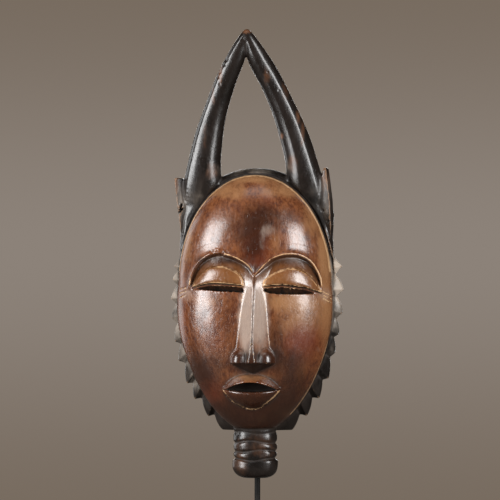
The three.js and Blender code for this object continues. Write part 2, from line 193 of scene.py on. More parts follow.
flatRadius = np.hypot(flatX, flatZ - face["middle"])
flatAngle = np.arctan2(flatZ - face["middle"], flatX)
flatEdge = edgeRadius(flatAngle)
flatPart = np.maximum(flatRadius / flatEdge, 1e-3)
flatDome = face["edgeDepth"] + face["dome"] * np.sqrt(np.clip(1 - flatPart ** face["fullness"], 0, 1))
degreesUp = np.degrees(flatAngle) % 360


def domeShape(part, edge, d, depth, fullness):
    steep = fullness * part ** (fullness - 1) / edge
    rise = np.maximum(d, 0) / depth
    slope = np.sqrt(steep**2 + (2 * rise / depth) ** 2)
    return (part**fullness + rise**2 - 1) / np.maximum(slope, 0.02)


# Lines of the eyes, each from the nose to the temple: x and height.
eyes = {
    "left": {
        "brow": [
            (2.8, 302.7), (-2.6, 311.7), (-13, 318.2), (-23.6, 321.8), (-31.6, 323.2),
            (-42.2, 319.3), (-51, 311.4), (-55.2, 303.2), (-56.9, 296), (-57.4, 291.9),
        ],
        "lid": [
            (-6.9, 293.9), (-8.5, 300), (-13.1, 304.8), (-21, 309),
            (-30.6, 309.9), (-39.6, 308.4), (-47.3, 302.2), (-53.6, 293.4),
        ],
        "ledge": [
            (-2, 286), (-5, 290), (-7.8, 293.3), (-18.3, 294.7),
            (-30.8, 295.4), (-39.4, 295), (-53, 292.2),
        ],
        "slit": [(-7, 287.7), (-28.6, 288.8), (-51, 290.6)],
        "strokes": [
            ((-66.4, 290.2), (-59.4, 291.6)),
            ((-66.4, 286.6), (-60.5, 288)),
            ((-66, 282.4), (-61, 284.8)),
        ],
        "shadeAt": 3.4,
        "within": ((-62, -4), (6, 68), (262, 306)),
    },
    "right": {
        "brow": [
            (2.8, 302.7), (10.4, 311.2), (17.7, 317.6), (26.2, 321), (35.2, 322.1),
            (44.1, 320.4), (52.5, 315.3), (57.9, 307.2), (61.1, 298.6), (61.9, 288.3),
        ],
        "lid": [
            (10.4, 293.2), (12, 297.5), (17.6, 302.7), (27.3, 307.2),
            (38.5, 308.4), (47.4, 305), (55.1, 297.5), (61.1, 288.8),
        ],
        "ledge": [
            (5.6, 286), (8.4, 290), (11, 292.9), (27.5, 294.2),
            (38.7, 292.8), (47.1, 291.5), (60.7, 287.1),
        ],
        "slit": [(11, 288.8), (17, 287), (28, 286.2), (44, 286.2), (58.4, 286.9)],
        "strokes": [
            ((62.6, 287.9), (69.4, 284)),
            ((62.4, 284.9), (69.4, 281)),
            ((62, 282.2), (69, 278)),
        ],
        "shadeAt": 5,
        "within": ((4, 62), (6, 68), (262, 306)),
    },
    "crest": 1.9,
    "crestRun": 3,
    "crestReach": 9,
    "crestFade": (283, 297),
    "wall": 3.8,
    "recess": 6,
    "recessEnds": 0.35,
    "recessAtLid": 0.26,
    "recessCurve": 0.8,
    "fullAt": 8,
    "fade": (284, 299),
    "bulge": 3.2,
    "bulgeDrop": 0.72,
    "bulgeCurve": 2.6,
    "archEnds": (0.1, 0.9),
    "archCurve": 0.6,
    "shadeWidth": 3,
    "shadeFade": (294, 304),
    "slitSlope": 0.7,
    "slitBlend": 0.2,
    "stroke": (1.1, 0.75),
}


def eyeRelief(eye):
    # how far the surface stands over the dome round one eye,
    # and the shares of it that are socket, lid or shade
    side = 1 if eye["brow"][-1][0] > 0 else -1
    brow, lid = smoothLine(eye["brow"]), smoothLine(eye["lid"])
    fromBrow, browSide, _ = nearLine(brow, flatX, flatZ)
    fromLid, lidSide, _ = nearLine(lid, flatX, flatZ)
    browward, lidward = fromBrow * browSide * side, fromLid * lidSide * side
    ledgeRow = sorted(eye["ledge"])
    ledge = np.interp(flatX, *zip(*ledgeRow))
    above = smooth(-0.6, 0.6, flatZ - ledge)
    inside = smooth(0, eyes["wall"], -browward) * above * smooth(*eyes["fade"], flatZ)
    gap = fromBrow + fromLid
    deep = eyes["recess"] * np.minimum(1, mix(eyes["recessEnds"], 1, gap / eyes["fullAt"]))
    floor = deep * mix(eyes["recessAtLid"], 1, (fromLid / gap) ** eyes["recessCurve"])
    crest = eyes["crest"] * np.exp(-np.maximum(browward, 0) / eyes["crestRun"])
    crest = np.where(fromBrow < eyes["crestReach"], crest, 0) * smooth(*eyes["crestFade"], flatZ)
    relief = crest * (1 - smooth(0, eyes["wall"], -browward)) - floor * inside
    lidRow = sorted(map(tuple, lid))
    lidTop = np.interp(flatX, *zip(*lidRow))
    up = np.clip((flatZ - ledge) / np.maximum(lidTop - ledge, 1), 0, 1)
    ends = np.clip((flatX - lidRow[0][0]) / (lidRow[-1][0] - lidRow[0][0]), 0, 1)
    arch = np.sin(np.pi * mix(*eyes["archEnds"], ends)) ** eyes["archCurve"]
    bulge = eyes["bulge"] * arch * (1 - eyes["bulgeDrop"] * up ** eyes["bulgeCurve"])
    bulge = bulge * (0.8 + 0.2 * smooth(0, 0.3, up))
    inLid = smooth(-0.5, 0.5, -lidward) * above
    socket = inside * (1 - inLid)
    shade = np.exp(-(((fromBrow - eye["shadeAt"]) / eyes["shadeWidth"]) ** 2))
    return mix(relief, bulge, inLid), socket, inLid, socket * shade * smooth(*eyes["shadeFade"], flatZ)


def faceRelief():
    left, right = (eyeRelief(eyes[name]) for name in ("left", "right"))
    return [np.where(flatX < 2.8, a, b) for a, b in zip(left, right)]


relief, socketMap, lidMap, shadeMap = faceRelief()


def sculptFace():
    where, x, d, z = block(*face["within"])
    part, edge = upright(flatPart, where), upright(flatEdge, where)
    dome = domeShape(part, edge, d - face["edgeDepth"], face["dome"], face["fullness"])
    uneven = face["uneven"] * waves(5, (34, 26, 21, 17, 44), x, d, z)
    dome = np.clip(dome - upright(relief, where) + uneven, -clay["far"], clay["far"])
    addClay(where, np.maximum(dome, -d))


# The smooth dark band over the forehead. Its reach past the face's edge goes with the degrees above
# the eye line, and its profile is the share of that reach and the depth.
band = {
    "reach": [
        (0, 0), (10, 0.8), (20, 2.6), (32, 6.4), (37, 10),
        (43, 16), (51, 15.5), (60, 10), (72, 7.6), (90, 5.8),
    ],
    "profile": [(0, 18.8), (0.4, 17.6), (0.75, 14.6), (1, 9.5)],
    "from": 5,
    "inset": 7,
    "round": 2.4,
    "blend": 0.6,
    "within": ((-81, 81), (-3.2, 24), (296, 406)),
}


def sculptBand():
    where, _, d, _ = block(*band["within"])
    angle = upright(degreesUp, where)
    level = np.minimum(angle, 180 - angle)
    reach = np.interp(level, *zip(*smoothLine(band["reach"], 4)))
    out = upright(flatRadius - flatEdge, where)
    top = np.interp(np.clip(out / np.maximum(reach, 1), 0, 1.4), *zip(*band["profile"]))
    shape = softMax(out - reach, (d - top) * 0.8, band["round"])
    shape = np.maximum(np.maximum(shape, -d), -band["inset"] - out)
    shape = np.maximum(shape, (band["from"] - level) * 1.2)
    addClay(where, shape, band["blend"])


# Teeth round the cheeks, from the temple down: angle at the tip in degrees, reach past the face's edge.
teeth = {
    "left": [
        (168.4, 6.1), (177.7, 6.7), (190.6, 7.2), (202.7, 7.4), (215.6, 8.8),
        (225, 11), (235.2, 12.4), (241.9, 13.4), (250.1, 11.9), (256.6, 10.8),
    ],
    "right": [
        (371, 8.9), (355.4, 8.9), (340.4, 7.7), (328, 7.2), (318.3, 8.3),
        (307, 11.6), (298.4, 12.7), (290.6, 12.6), (282.9, 11.9),
    ],
    "start": {"left": (160, 1.0), "right": (382, 1.2)},
    "notch": 0.33,
    "shoulder": 1.7,
    "underside": 1.15,
    "round": 1.3,
    "notchReach": [(0, 2.2), (35, 3.0), (55, 6.8), (75, 5.6)],
    "floor": 162.6,
    "inset": 5,
    "edge": [(0, 10), (25, 9.4), (45, 6.4), (75, 5)],
    "crest": 15.6,
    "valley": 10.5,
    "frontStep": 1.2,
    "blend": 0.4,
    "within": {
        "left": ((-81, 0.1), (-3.2, 24), (158, 336)),
        "right": ((0.1, 81), (-3.2, 24), (158, 336)),
    },
}


def toothCorners(name):
    # angles along the toothed outline: 0 in a notch, 1 at a tip
    tips = teeth[name]
    corners = [(teeth["start"][name][0], 0)]
    for i, (angle, _) in enumerate(tips):
        corners.append((angle, 1))
        if i + 1 < len(tips):
            corners.append((mix(angle, tips[i + 1][0], teeth["notch"]), 0))
    corners.append((270, 1))
    return sorted(corners)


def sculptTeeth():
    for name in ("left", "right"):
        where, _, d, z = block(*teeth["within"][name])
        angle = upright(degreesUp, where)
        if name == "right":
            angle = np.where(angle < 90, angle + 360, angle)
        angles, tips = map(np.array, zip(*toothCorners(name)))
        at = np.clip(np.searchsorted(angles, angle) - 1, 0, len(angles) - 2)
        tip = np.interp(angle, angles, tips, left=0, right=0)
        # the outline swells from a notch down to the next tip, and is hollow from a tip in to its notch
        swells = tips[at] < tips[at + 1] if name == "left" else tips[at] > tips[at + 1]
        share = np.where(swells, 1 - (1 - tip) ** teeth["shoulder"], tip ** teeth["underside"])
        down = np.abs(angle - (180 if name == "left" else 360))
        low = np.interp(down, *zip(*teeth["notchReach"]))
        tipReach = sorted([*teeth[name], teeth["start"][name], (270, teeth[name][-1][1])])
        high = np.interp(angle, *zip(*tipReach))
        reach = mix(np.minimum(low, high), high, share)
        out = upright(flatRadius - flatEdge, where)
        crest = mix(teeth["valley"], teeth["crest"], tip)
        fall = np.clip((out + teeth["frontStep"]) / (np.maximum(reach, 1) + teeth["frontStep"]), 0, 1.3)
        top = mix(crest, np.interp(down, *zip(*teeth["edge"])), fall)
        shape = softMax((out - reach) * 0.9, (d - top) * 0.75, teeth["round"])
        shape = np.maximum(np.maximum(shape, -d), -teeth["inset"] - out)
        limit = angle - angles[-1] if name == "right" else angles[0] - angle
        shape = np.maximum(shape, np.maximum(limit, teeth["floor"] - z))
        addClay(where, shape, teeth["blend"])


# Each horn is a row of stations: x, height, depth, half width, half depth. A ridge is a row of places:
# share of the horn's length, degrees round from the outer side, how far it stands out.
horns = {
    "left": {
        "stations": [
            (-61, 346, 7, 6.5, 6), (-49.6, 374, 11, 16.6, 10.5), (-45.4, 410, 14, 13.9, 12),
            (-37.6, 444, 18, 11, 10), (-27, 475, 24, 9, 8.6), (-16.3, 498, 30, 8.2, 7.6),
            (-8.6, 514.6, 34, 5.4, 5.4), (-5.8, 519.4, 35, 3.3, 3.5),
        ],
        "ridges": [[(0, 38, 0.12), (0.15, 44, 0.13), (0.6, 52, 0.13), (0.8, 62, 0.12), (1, 90, 0.1)]],
        "within": ((-72, 12), (-3.2, 48), (334, 525)),
    },
    "right": {
        "stations": [
            (60, 346, 7, 6.5, 6), (47.2, 374, 11, 16.4, 10.5), (39.9, 410, 14, 13.7, 12),
            (29, 444, 18, 11.7, 10.4), (15.6, 475, 24, 10, 9), (3, 498, 30, 9.2, 8),
            (-4, 514.6, 34, 5.6, 5.6), (-6.6, 519.2, 35, 3.3, 3.5),
        ],
        "ridges": [
            [(0, 56, 0.07), (0.5, 60, 0.07), (0.75, 70, 0.05), (1, 90, 0.02)],
            [(0, 104, 0.07), (0.5, 102, 0.08), (0.7, 100, 0.09), (0.85, 112, 0.13), (1, 100, 0.1)],
        ],
        "within": ((-14, 72), (-3.2, 48), (334, 525)),
    },
    "spread": 30,
    "round": 2.2,
    "uneven": 0.28,
}


def sculptHorn(name):
    horn = horns[name]
    side = -1 if name == "left" else 1
    line = smoothLine(horn["stations"], 8)
    where, x, d, z = block(*horn["within"])
    flat = nearLine(line, x[:, 0, :], z[:, 0, :])
    distance, turn, along = (part[:, None, :] for part in flat)
    shares = np.linspace(0, 1, len(line))
    depth, halfWidth, halfDepth = (np.interp(along, shares, line[:, i]) for i in (2, 3, 4))
    across = (distance * -turn * side / halfWidth).astype(np.float32)
    forward = ((d - depth) / halfDepth).astype(np.float32)
    reach = np.hypot(across, forward) + 1e-4
    slope = np.hypot(across / halfWidth, forward / halfDepth) / reach
    turned = np.degrees(np.arctan2(forward, across))
    reach = reach - 1
    for row in horn["ridges"]:
        at, angles, swells = zip(*row)
        ridge, swell = np.interp(along, at, angles), np.interp(along, at, swells)
        reach = reach - swell * np.exp(-np.abs(turned - ridge) / horns["spread"])
    shape = reach / slope
    shape = shape + horns["uneven"] * waves(11, (60, 41, 29), x, d, z)
    addClay(where, np.maximum(shape, -d), horns["round"])


# The tabs beside the horns: height, inner x, outer x, front depth.
tabs = {
    "left": [
        (318, 62, 66.6, 12), (345, 60, 69.4, 17), (366, 60, 72.4, 18),
        (390.5, 66.4, 75, 17), (398, 68, 76, 16.6),
    ],
    "right": [
        (318, 62, 68, 13), (348, 60, 69.6, 19), (370, 58, 68.8, 21),
        (388, 59.5, 66.6, 21), (397, 60.8, 65.4, 19), (402, 61.4, 64, 16),
    ],
    "top": {"left": 390.3, "right": 399.4},
    "low": 315,
    "flank": 0.16,
    "crest": 0.86,
    "slant": 0.34,
    "round": 0.8,
    "blend": 0.5,
    "within": {
        "left": ((-80, -54), (-3.2, 27), (314, 404)),
        "right": ((54, 80), (-3.2, 27), (314, 404)),
    },
}


def sculptTab(name):
    side = -1 if name == "left" else 1
    where, x, d, z = block(*tabs["within"][name])
    heights, inner, outer, front = zip(*tabs[name])
    inner, outer, front = (np.interp(z, heights, row) for row in (inner, outer, front))
    across = side * x
    crest = mix(inner, outer, tabs["crest"])
    flank = (across - outer + tabs["flank"] * d * 0.5) * 0.98
    slope = (d - front + tabs["slant"] * (crest - across)) * 0.94
    shape = np.maximum(np.maximum(flank, slope), np.maximum(inner - across, -d))
    shape = softMax(shape, z - tabs["top"][name], tabs["round"])
    shape = np.maximum(shape, tabs["low"] - z)
    addClay(where, shape, tabs["blend"])


# Sections of the nose from the brows down: height, half width, half width of its ridge, and how far it
# stands over the dome at the ridge and at the sides. The ridge has rows of height and x.
nose = {
    "sections": [
        (318, 20, 0.6, -7, -9), (312, 16, 0.6, -3.4, -5.2), (307, 13, 0.6, -1, -3),
        (303, 11.4, 0.6, 0.6, -1.8), (298, 9.8, 0.6, 2.4, -0.6), (290, 8.7, 0.7, 5.2, 0),
        (280, 10.2, 0.7, 7.6, 0), (264, 11.8, 0.8, 10.6, 0), (253, 12.8, 0.9, 12.6, 0),
        (244, 13.8, 1.0, 14.8, 0), (236, 14.8, 1.5, 16.6, 0), (224.5, 16.4, 2.9, 18.4, 0),
        (212, 16.4, 3, 18.6, 0),
    ],
    "ridge": [(312, 2.8), (290, 2.6), (253, 1.6), (222, 1.0)],
    "edge": 224.6,
    "back": 214.2,
    "full": 13,
    "reach": 20.5,
    "ball": {"out": 11, "height": 226.4, "rise": 5.8, "radii": (9.4, 11.2, 12), "blend": 1.6},
    "flank": 1.5,
    "round": 0.5,
    "blend": 1.5,
    "within": ((-26, 28), (44, 78), (208, 318)),
}


def sculptNose():
    where, x, d, z = block(*nose["within"])
    heights, halfWidth, ridgeHalf, rise, low = zip(*smoothLine(nose["sections"][::-1], 6))
    middle = np.interp(z, *zip(*reversed(nose["ridge"])))
    rows = (halfWidth, ridgeHalf, rise, low)
    halfWidth, ridgeHalf, rise, low = (np.interp(z, heights, row) for row in rows)
    out = np.abs(x - middle)
    share = np.clip((halfWidth - out) / (halfWidth - ridgeHalf), 0, 1)
    slope = (rise - low) / np.maximum(halfWidth - ridgeHalf, 1)
    dome = upright(flatDome, where)
    aside = np.maximum(out - halfWidth, 0)
    shape = (d - dome - mix(low, rise, share) + nose["flank"] * aside) / np.sqrt(1 + slope**2)
    ball = nose["ball"]
    level = np.interp(ball["out"], xs, flatDome[:, np.searchsorted(zs, ball["height"])])
    for side in (-1, 1):
        centre = (middle + side * ball["out"], level + ball["rise"], ball["height"])
        scaled = [(p - c) / r for p, c, r in zip((x, d, z), centre, ball["radii"])]
        length = np.sqrt(sum(s * s for s in scaled)) + 1e-4
        steep = np.sqrt(sum((s / r) ** 2 for s, r in zip(scaled, ball["radii"]))) / length
        shape = softMin(shape, (length - 1) / steep, ball["blend"])
    drop = (nose["edge"] - nose["back"]) * (1 - np.clip(out / nose["reach"], 0, 1))
    under = nose["edge"] - drop * np.clip((dome + nose["full"] - d) / nose["full"], 0, 1.2)
    shape = softMax(shape, (under - z) * 0.85, nose["round"])
    addClay(where, shape, nose["blend"])


# The lips: heights, half width, and how far each lip stands over the dome.
mouth = {
    "middle": -1,
    "halfWidth": 25.8,
    "corner": 200.8,
    "top": 214.6,
    "openTop": 207.4,
    "openBottom": 198.6,
    "shut": 0.87,
    "bottom": 183.4,
    "upperRise": 12.4,
    "upperRim": 0.86,
    "lowerRise": 11,
    "lowerRim": 0.12,
    "taper": 0.93,
    "recess": 9,
    "blend": 0.9,
    "openBlend": 0.3,
    "within": ((-30, 28), (38, 78), (176, 222)),
}


def sculptMouth():
    where, x, d, z = block(*mouth["within"])
    out = np.abs(x - mouth["middle"]) / mouth["halfWidth"]
    edge = np.clip(out, 0, 1)
    corner = mouth["corner"]
    top = mix(mouth["top"], corner + 1, edge**2.5)
    shut = np.clip(out / mouth["shut"], 0, 1)
    openTop = mix(mouth["openTop"], corner, shut**2)
    openBottom = mix(mouth["openBottom"], corner - 0.3, shut**2)
    bottom = mix(mouth["bottom"], corner - 2, edge**2)
    full = np.sqrt(1 - mouth["taper"] * edge**2)
    upper = np.clip((top - z) / np.maximum(top - openTop, 0.5), -0.4, 1.4)
    upperRim, lowerRim = mouth["upperRim"], mouth["lowerRim"]
    upperRise = mix(0.15, mouth["upperRise"] * full, np.clip(upper / upperRim, -0.2, 1))
    upperRise = upperRise - 3 * np.maximum(upper - upperRim, 0)
    lower = np.clip((openBottom - z) / np.maximum(openBottom - bottom, 0.5), -0.2, 1)
    bowl = np.sqrt(np.clip(1 - np.clip((lower - lowerRim) / (1 - lowerRim), 0, 1) ** 1.9, 0, 1))
    lowerRise = mouth["lowerRise"] * full * mix(0.06, 1, bowl) - 4 * np.maximum(lowerRim - lower, 0)
    dome = upright(flatDome, where)
    upperLip = np.maximum((d - dome - upperRise) * 0.6, openTop - z)
    lowerLip = np.maximum((d - dome - lowerRise) * 0.65, np.maximum(z - openBottom, (bottom - z) * 0.8))
    beyond = (out - 1) * mouth["halfWidth"] * 0.7
    addClay(where, np.maximum(np.minimum(upperLip, lowerLip), beyond), mouth["blend"])
    opening = np.maximum(np.maximum(z - openTop, openBottom - z), dome - mouth["recess"] * full - d)
    cutClay(where, np.maximum(opening, beyond), mouth["openBlend"])


# The ribbed beard under the chin: rings over an end knob, parted by grooves of a height and a depth.
beard = {
    "depth": 18.4,
    "flat": 0.69,
    "ring": 19.6,
    "knob": 20.5,
    "bottom": 120.2,
    "top": 171,
    "grooves": [(161, 0.9), (152.9, 1.4), (144.9, 1.5), (137, 1.8)],
    "grooveHalf": 1.3,
    "grooveWobble": 1.1,
    "knobRound": 12,
    "round": 2.5,
    "blend": 0.6,
    "uneven": 0.22,
    "within": ((-25, 25), (-1, 44), (117, 172)),
}


def sculptBeard():
    where, x, d, z = block(*beard["within"])
    radius = mix(beard["knob"], beard["ring"], smooth(-1.5, 1.5, z - beard["grooves"][-1][0]))
    for height, deep in beard["grooves"]:
        wobble = beard["grooveWobble"] * np.sin(x / 6 + height)
        radius = radius - deep * np.exp(-(((z - height - wobble) / beard["grooveHalf"]) ** 2))
    low = np.clip((beard["bottom"] + beard["knobRound"] - z) / beard["knobRound"], 0, 1)
    radius = radius * np.sqrt(np.clip(1 - (0.86 * low) ** 2.6, 0.05, 1))
    around = np.hypot(x, (d - beard["depth"]) / beard["flat"])
    shape = (around - radius) * 0.88 + beard["uneven"] * waves(3, (19, 11, 8, 26), x, d, z)
    shape = softMax(shape, beard["bottom"] - z, beard["round"])
    addClay(where, np.maximum(shape, z - beard["top"]), beard["blend"])


def sculptHollow():
    where, _, d, _ = block(*hollow["within"])
    part, edge = upright(flatPart, where) / hollow["reach"], upright(flatEdge, where)
    shape = domeShape(part, edge * hollow["reach"], d, hollow["depth"], hollow["fullness"])
    dice = np.random.default_rng(17)
    marks = np.full(flatDome.shape, 9.0)
    wide, tall = hollow["gouge"]
    for _ in range(hollow["gouges"]):
        cx, cz, lean = dice.uniform(-62, 62), dice.uniform(172, 384), dice.normal(0, hollow["gougeLean"])
        u = ((flatX - cx) + lean * (flatZ - cz)) / wide
        v = (flatZ - cz) / tall
        marks = np.minimum(marks, u * u + v * v)
    scoop = hollow["gougeDepth"] * (1 - np.clip(marks, 0, 2.2))
    cutClay(where, shape - upright(scoop, where), hollow["rim"])


def sculptSlit(eye):
    side = 1 if eye["brow"][-1][0] > 0 else -1
    where, x, d, z = block(*eye["within"])
    level = np.interp(x, xs, flatDome[:, np.searchsorted(zs, 290)])
    top = np.interp(x, *zip(*sorted(eye["ledge"]))) - eyes["slitSlope"] * eyes["bulge"] * 0.8
    bottom = np.interp(x, *zip(*sorted(eye["slit"])))
    # the slit runs down from the front, so that nothing shows through it from straight ahead
    slanted = z + eyes["slitSlope"] * (level - d)
    ends = [side * row[0] for row in (eye["slit"][0], eye["slit"][-1])]
    sides = np.maximum(ends[0] - side * x, side * x - ends[1])
    shape = np.maximum(np.maximum(slanted - top, bottom - slanted) * 0.92, sides)
    cutClay(where, shape, eyes["slitBlend"])


# A narrow groove parts the face's edge from the band, deeper on the right: degrees above the eye line
# and depth, how far out it runs, its half width.
seam = {
    "depth": [(0, 0.2), (14, 2.4), (48, 2.6), (66, 0.9), (180, 0.7)],
    "out": 0.7,
    "half": 0.8,
    "within": ((-76, 76), (8, 30), (296, 396)),
}


def cutSeam():
    where = block(*seam["within"])[0]
    angle, out = upright(degreesUp, where), upright(flatRadius - flatEdge, where)
    deep = np.interp(angle, *zip(*seam["depth"]))
    wood[where] += deep * np.exp(-(((out - seam["out"]) / seam["half"]) ** 2))


# Knocks and chips on the front: x, height, radius, depth.
knocks = {
    "brow": [
        (-26.6, 322, 2.2, 1.5), (-31.2, 323.6, 1.4, 1.3), (-35, 323.2, 2.4, 0.8), (-22, 322.6, 1.5, 0.7),
    ],
    "ledge": [(36.6, 292.6, 1.5, 0.9), (47, 291.6, 1.2, 0.6), (-52.6, 291.8, 1.8, 1.0)],
    "nose": [(1.4, 240.8, 1.1, 0.7), (1.2, 244.6, 0.9, 0.4), (2.2, 268, 0.9, 0.3)],
    "horns": [
        (-30.4, 484.6, 1.6, 0.35), (-32, 478.8, 1.3, 0.3), (-26.6, 489.8, 1.3, 0.35),
        (-24.6, 495.4, 2.0, 0.5), (-9.4, 514, 1.6, 0.35), (12.6, 484, 1.2, 0.25),
        (22.4, 468, 1.2, 0.25), (-30.6, 473.6, 1.5, 0.3),
    ],
    "edge": [
        (48.2, 187.4, 1.8, 1.1), (43.8, 182.2, 1.6, 0.9), (34, 172.4, 1.8, 1.0), (30, 169, 1.5, 0.8),
        (61, 360.4, 1.3, 0.8), (65.4, 351, 1.4, 0.8), (-60.4, 345.4, 1.3, 0.6), (67.2, 334, 1.0, 0.6),
        (-16, 160.6, 2.0, 0.8),
    ],
    "lips": [
        (-24.6, 203.6, 1.5, 0.7), (-23.4, 195.4, 1.2, 0.6), (-6, 184.4, 1.8, 0.6), (23.2, 203, 1.3, 0.5),
    ],
}
# Thin cuts: the two ends, width, depth.
cuts = [
    ((-66.9, 366.4), (-68.6, 361.6), 1.5, 4.2),
    ((-66.2, 362.4), (-70.8, 357.0), 1.6, 4.6),
    ((-70.6, 362.6), (-71.2, 360.2), 0.8, 1.2),
    ((-24, 323.8), (-15.6, 329), 0.7, 0.3),
]
scars = {"reach": 4, "depths": (12, 78), "uneven": 0.3, "lineEdge": 1.25}


def scarWood():
    reach, uneven = scars["reach"], scars["uneven"]
    for group in knocks.values():
        for cx, cz, radius, deep in group:
            where, x, _, z = block((cx - reach, cx + reach), scars["depths"], (cz - reach, cz + reach))
            lump = uneven * np.sin(3.1 * x + cz) + uneven * np.sin(2.7 * z + cx)
            near = 1 - ((x - cx) ** 2 + (z - cz) ** 2) / (radius * (1 + lump * 0.5)) ** 2
            wood[where] += deep * np.sqrt(np.clip(near, 0, 1))
    lines = list(cuts)
    for name in ("left", "right"):
        lines += [(a, b, *eyes["stroke"]) for a, b in eyes[name]["strokes"]]
    for (ax, az), (bx, bz), width, deep in lines:
        across = (min(ax, bx) - reach, max(ax, bx) + reach)
        heights = (min(az, bz) - reach, max(az, bz) + reach)
        where, x, _, z = block(across, scars["depths"], heights)
        distance, _, _ = nearLine([(ax, az), (bx, bz)], x[:, 0, :], z[:, 0, :])
        near = scars["lineEdge"] - distance[:, None, :] / (width / 2)
        wood[where] += deep * np.clip(near, 0, 1)


def sculptMask():
    sculptFace()
    sculptBand()
    sculptTeeth()
    for name in ("left", "right"):
        sculptTab(name)
        sculptHorn(name)
    sculptBeard()
    sculptNose()
    sculptMouth()
    sculptHollow()
    for name in ("left", "right"):
        sculptSlit(eyes[name])
    cutSeam()
    scarWood()


def trueDistance(field):
    # slopes steeper than a distance would be are evened out
    steep = np.sqrt(sum(g * g for g in np.gradient(field, clay["cell"])))
    even = field / np.maximum(steep, clay["steepest"])
    return np.clip(even, -clay["far"], clay["far"]).astype(np.float32)


def boxBlur(field, cells):
    for axis in range(3):
        margins = [(cells + 1, cells) if a == axis else (0, 0) for a in range(3)]
        total = np.cumsum(np.pad(field, margins, "edge"), axis)
        size = field.shape[axis]
        ahead = np.take(total, np.arange(2 * cells + 1, size + 2 * cells + 1), axis)
        field = (ahead - np.take(total, np.arange(size), axis)) / (2 * cells + 1)
    return field.astype(np.float32)


def sample(field, points):
    # value of a 3-D field at points given in millimetres
    at = [(points[:, i] - axis[0]) / clay["cell"] for i, axis in enumerate((xs, ds, zs))]
    base = [np.clip(a.astype(int), 0, size - 2) for a, size in zip(at, field.shape)]
    part = [np.clip(a - b, 0, 1) for a, b in zip(at, base)]
    total = 0
    for corner in np.ndindex(2, 2, 2):
        share = 1
        for i in range(3):
            share = share * (part[i] if corner[i] else 1 - part[i])
        total = total + share * field[tuple(b + c for b, c in zip(base, corner))]
    return total


def sampleFlat(flat, points):
    i = np.clip(np.rint((points[:, 0] - xs[0]) / clay["cell"]).astype(int), 0, len(xs) - 1)
    k = np.clip(np.rint((points[:, 2] - zs[0]) / clay["cell"]).astype(int), 0, len(zs) - 1)
    return flat[i, k]


def slopeAt(field, points):
    step = clay["cell"] * 0.7
    columns = []
    for axis in range(3):
        shift = np.zeros(3)
        shift[axis] = step
        columns.append(sample(field, points + shift) - sample(field, points - shift))
    slope = np.stack(columns, 1)
    return slope / np.maximum(np.linalg.norm(slope, axis=1, keepdims=True), 1e-6)


def meshFrom(name, points, faces):
    mesh = bpy.data.meshes.new(name)
    mesh.vertices.add(len(points))
    mesh.vertices.foreach_set("co", points.astype(np.float32).ravel())
    mesh.loops.add(faces.size)
    mesh.loops.foreach_set("vertex_index", faces.astype(np.int32).ravel())
    mesh.polygons.add(len(faces))
    mesh.polygons.foreach_set("loop_start", np.arange(0, faces.size, faces.shape[1], dtype=np.int32))
    mesh.update(calc_edges=True)
    mesh.validate()
    made = bpy.data.objects.new(name, mesh)
    bpy.context.scene.collection.objects.link(made)
    return made


def pieceFrom(name, points, faces):
    mesh = bpy.data.meshes.new(name)
    mesh.from_pydata(points, [], faces)
    mesh.update()
    made = bpy.data.objects.new(name, mesh)
    bpy.context.scene.collection.objects.link(made)
    return made


def ringFaces(first, count):
    # four-sided faces from the ring of points that starts here to the next ring
    return [
        (first + n, first + (n + 1) % count, first + (n + 1) % count + count, first + n + count)
        for n in range(count)
    ]


def toFrame(points):
    # from the clay's millimetres to the frame's metres
    return np.stack([points[:, 0] / 1000, rimY - points[:, 1] / 1000, points[:, 2] / 1000], 1)


def toClay(points):
    return np.stack([points[:, 0] * 1000, (rimY - points[:, 1]) * 1000, points[:, 2] * 1000], 1)


def applyModifiers(piece):
    view = bpy.context.evaluated_depsgraph_get()
    made = bpy.data.meshes.new_from_object(piece.evaluated_get(view), depsgraph=view)
    piece.modifiers.clear()
    piece.data = made


def biggestPart(points, faces):
    # keeps the one body that holds most of the faces
    label = np.arange(len(points))
    while True:
        low = label[faces].min(1)
        before = label.copy()
        for column in range(faces.shape[1]):
            np.minimum.at(label, faces[:, column], low)
        label = label[label]
        if np.array_equal(before, label):
            break
    names, counts = np.unique(label[faces[:, 0]], return_counts=True)
    return faces[label[faces[:, 0]] == names[counts.argmax()]]


def setFloats(mesh, name, values):
    layer = mesh.attributes.new(name, "FLOAT", "POINT")
    layer.data.foreach_set("value", np.ascontiguousarray(values, np.float32))


